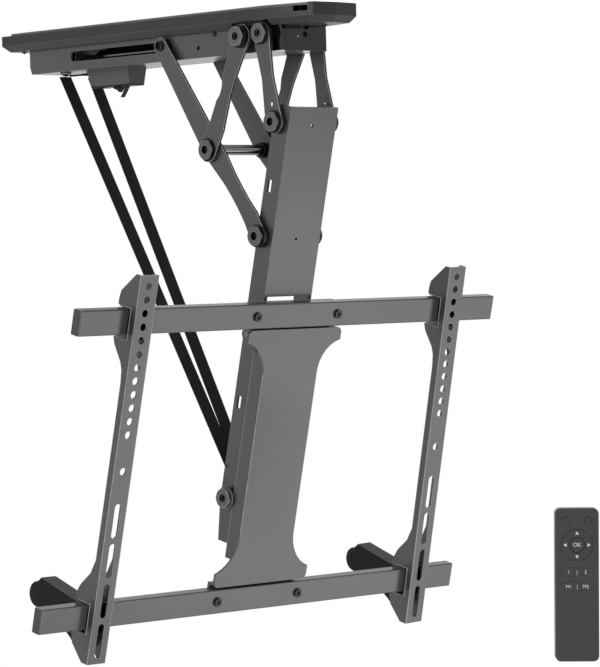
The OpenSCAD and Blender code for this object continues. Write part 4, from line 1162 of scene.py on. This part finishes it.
@dataclass(frozen=True)
class RemoteControl:
    """The remote control: shells, board, keys and the signs on the keys."""

    shop: Workshop
    shells_mm: Edges = (("remote_front", 0.3), ("remote_back", 0.5), ("remote_board", 0.2))
    keys: tuple[str, ...] = ("round_key_left", "round_key_right", "ok_key", "number_key", "memory_key")
    key_edge_mm: float = 0.35
    face_mm: float = -9.6
    height_mm: float = 172.4
    ring_drop_mm: float = 41.3
    rockers: tuple[tuple[str, str, float], ...] = (("number_key", "1", 72.0), ("memory_key", "M1", 88.2))
    ok_size_mm: float = 6.2
    sign_size_mm: float = 5.4
    sign_aside_mm: float = 9.5
    arrow_radius_mm: float = 13.2
    arrow_mm: float = 2.1
    arrow_shape: tuple[Pair, ...] = ((0, 1), (-0.95, -0.7), (0.95, -0.7))
    print_mm: float = 0.06

    def build(self) -> None:
        """Rounds the shells and keys, and prints the signs."""
        soften = self.shop.soften
        for node, edge in self.shells_mm:
            soften(node, edge)
        for node in self.keys:
            soften(node, self.key_edge_mm, segments=3)
        coats = ("key_rubber", "key_ring_edge")
        soften("direction_ring", self.key_edge_mm, coats=coats, paint=self._rim_paint)
        ring = self.height_mm - self.ring_drop_mm
        self._arrows(ring)
        self._words("ok_sign", "OK", self.ok_size_mm, 0, ring, "ok_key")
        for node, text, drop in self.rockers:
            signs = (("left", text, -1), ("right", text.replace("1", "2"), 1), ("bar", "|", 0))
            for place, sign, side in signs:
                x, z = side * self.sign_aside_mm, self.height_mm - drop
                self._words(f"{node}_{place}_sign", sign, self.sign_size_mm, x, z, node)

    def _rim_paint(self, face: Face) -> int:
        """The dark flanks of the ring of direction keys."""
        way = REMOTE.to_3x3().inverted() @ face.normal
        return int(abs(way.y) < 0.5)

    def _print(self, name: str, mesh: Mesh, node: str) -> None:
        """Stands a flat sign on the key that carries it.

        Args:
            name: the piece's name.
            mesh: the sign in the remote's frame.
            node: the key.
        """
        mesh.transform(REMOTE)
        self.shop.dress(new_piece(name, mesh), ["key_print"], body_of(node))

    def _words(self, name: str, text: str, size_mm: float, x: float, z: float, node: str) -> None:
        """Prints a short generic sign.

        Args:
            name: the piece's name.
            text: the sign.
            size_mm: the size of its letters.
            x: its middle across the remote.
            z: its middle along the remote.
            node: the key that carries it.
        """
        curve = bpy.data.curves.new(name, "FONT")
        curve.body, curve.size, curve.extrude = text, size_mm * MM, self.print_mm * MM
        curve.align_x = curve.align_y = "CENTER"
        writing = new_piece(name, curve)
        mesh = baked(writing)
        bpy.data.objects.remove(writing)
        mesh.transform(shifted(x, self.face_mm, z) @ turned(90, "X"))
        self._print(name, mesh, node)

    def _arrows(self, ring: float) -> None:
        """Four small triangles on the ring of direction keys."""
        form = bmesh.new()
        for k in range(4):
            c, s = math.cos(math.pi / 2 * k), math.sin(math.pi / 2 * k)
            flat = []
            for across, out in self.arrow_shape:
                u, w = across * self.arrow_mm, self.arrow_radius_mm + out * self.arrow_mm
                flat.append((u * c - w * s, u * s + w * c))
            levels = []
            for sign in (-1, 1):
                y = self.face_mm + sign * self.print_mm
                levels.append([form.verts.new(Vector((u, y, ring + w)) * MM) for u, w in flat])
            form.faces.new(levels[0])
            form.faces.new(levels[1][::-1])
            for a in range(3):
                b = (a + 1) % 3
                form.faces.new([levels[0][a], levels[1][a], levels[1][b], levels[0][b]])
        bmesh.ops.recalc_face_normals(form, faces=form.faces)
        self._print("ring_arrows", mesh_of(form, "ring_arrows"), "direction_ring")


@dataclass(frozen=True)
class Studio:
    """The camera of the photograph, a pale floor and soft lamps."""

    eye: Triple = (-2.6915, -2.9599, -0.3072)
    yaw: float = 44.16
    pitch: float = -0.88
    roll: float = -1.72
    focal_px: float = 3439.84
    sensor_mm: float = 36.0
    floor_z: float = -2.3
    floor_size: float = 60.0
    floor_grey: float = 0.86
    floor_roughness: float = 0.9
    sight: float = 200.0
    ambient: float = 0.34
    aim: Triple = (0, -0.1, -0.35)
    lamps: tuple[tuple[str, Triple, float, float], ...] = (
        ("key", (-2.2, -3.2, 0.9), 1.0, 6.0),
        ("front fill", (2.1, -2.1, -1.6), 1.2, 11.0),
        ("left fill", (-3.2, 0.9, 0.4), 1.4, 38.0),
        ("floor bounce", (-0.4, -0.9, -2.1), 2.4, 30.0),
    )

    def build(self) -> None:
        """Sets up the view, the floor and the light."""
        scene = bpy.context.scene
        scene.view_settings.view_transform = "Standard"
        self._camera(scene)
        self._world(scene)
        self._floor()
        self._lamps()

    def _camera(self, scene: bpy.types.Scene) -> None:
        """Places the camera from its heading, pitch and roll."""
        yaw, pitch, roll = (math.radians(a) for a in (self.yaw, self.pitch, self.roll))
        ahead = Vector((math.sin(yaw) * math.cos(pitch), math.cos(yaw) * math.cos(pitch), math.sin(pitch)))
        level = Vector((math.cos(yaw), -math.sin(yaw), 0))
        rise = level.cross(ahead)
        right = level * math.cos(roll) + rise * math.sin(roll)
        up = rise * math.cos(roll) - level * math.sin(roll)
        matrix = Matrix((right, up, -ahead)).transposed().to_4x4()
        matrix.translation = Vector(self.eye)
        lens = bpy.data.cameras.new("photo view")
        lens.sensor_fit = "HORIZONTAL"
        lens.sensor_width = self.sensor_mm
        lens.lens = self.focal_px / FRAME_WIDTH_PX * self.sensor_mm
        lens.clip_end = self.sight
        scene.camera = new_piece("photo view", lens)
        scene.camera.matrix_world = matrix

    @staticmethod
    def _seen(writer: NodeWriter) -> Socket:
        """One for rays that show the background: the camera's, mirrored and refracted ones."""
        path = writer.add("ShaderNodeLightPath")
        mirrored = writer.math("MAXIMUM", path.outputs["Is Camera Ray"], path.outputs["Is Glossy Ray"])
        return writer.math("MAXIMUM", mirrored, path.outputs["Is Transmission Ray"])

    def _world(self, scene: bpy.types.Scene) -> None:
        """White behind the object and in its reflections, and a soft grey light on it."""
        world = bpy.data.worlds.new("studio")
        scene.world = world
        world.use_nodes = True
        world.node_tree.nodes.clear()
        writer = NodeWriter(world.node_tree)
        white = (1, 1, 1, 1)
        seen = writer.add("ShaderNodeBackground", {"Color": white})
        soft = writer.add("ShaderNodeBackground", {"Color": white, "Strength": self.ambient})
        inputs = {"Fac": self._seen(writer), 1: soft.outputs[0], 2: seen.outputs[0]}
        mix = writer.add("ShaderNodeMixShader", inputs)
        writer.add("ShaderNodeOutputWorld", {"Surface": mix.outputs[0]})

    def _floor(self) -> None:
        """A wide pale floor, far below as under a real ceiling."""
        form = bmesh.new()
        bmesh.ops.create_grid(form, x_segments=4, y_segments=4, size=self.floor_size / 2)
        mesh = mesh_of(form, "studio_floor")
        mesh.transform(Matrix.Translation((0, 0, self.floor_z)))
        floor = new_piece("studio_floor", mesh)
        material = bpy.data.materials.new("pale floor")
        material.use_nodes = True
        writer, nodes = NodeWriter(material.node_tree), material.node_tree.nodes
        shader = nodes["Principled BSDF"]
        pale = (*[self.floor_grey] * 3, 1)
        writer.fill(shader, {"Base Color": pale, "Roughness": self.floor_roughness})
        glow = writer.add("ShaderNodeEmission")
        inputs = {"Fac": self._seen(writer), 1: shader.outputs[0], 2: glow.outputs[0]}
        mix = writer.add("ShaderNodeMixShader", inputs)
        writer.fill(nodes["Material Output"], {"Surface": mix.outputs[0]})
        floor.data.materials.append(material)

    def _lamps(self) -> None:
        """A key light near the camera, fills at the left and the front, and a bounce from the floor."""
        for name, place, size, power in self.lamps:
            light = bpy.data.lights.new(name, "AREA")
            light.shape, light.size, light.energy = "SQUARE", size, power
            look = (Vector(self.aim) - Vector(place)).to_track_quat("-Z", "Y").to_matrix().to_4x4()
            new_piece(name, light).matrix_world = Matrix.Translation(place) @ look


def main() -> None:
    """Builds the view, the finishes and the sub-assemblies, in order."""
    logging.basicConfig(level=logging.INFO, format="%(message)s")
    Studio().build()
    finishes = Finishes(ShaderParts())
    shop, repeater = Workshop(finishes), Repeater()
    CoverAssembly(shop, repeater).build()
    RailAssembly(shop, repeater).build()
    Linkage(shop).build()
    ColumnAssembly(shop).build()
    ScreenArms(shop).build()
    Webbing(shop, repeater).build()
    RemoteControl(shop).build()


if __name__ == "__main__":
    main()
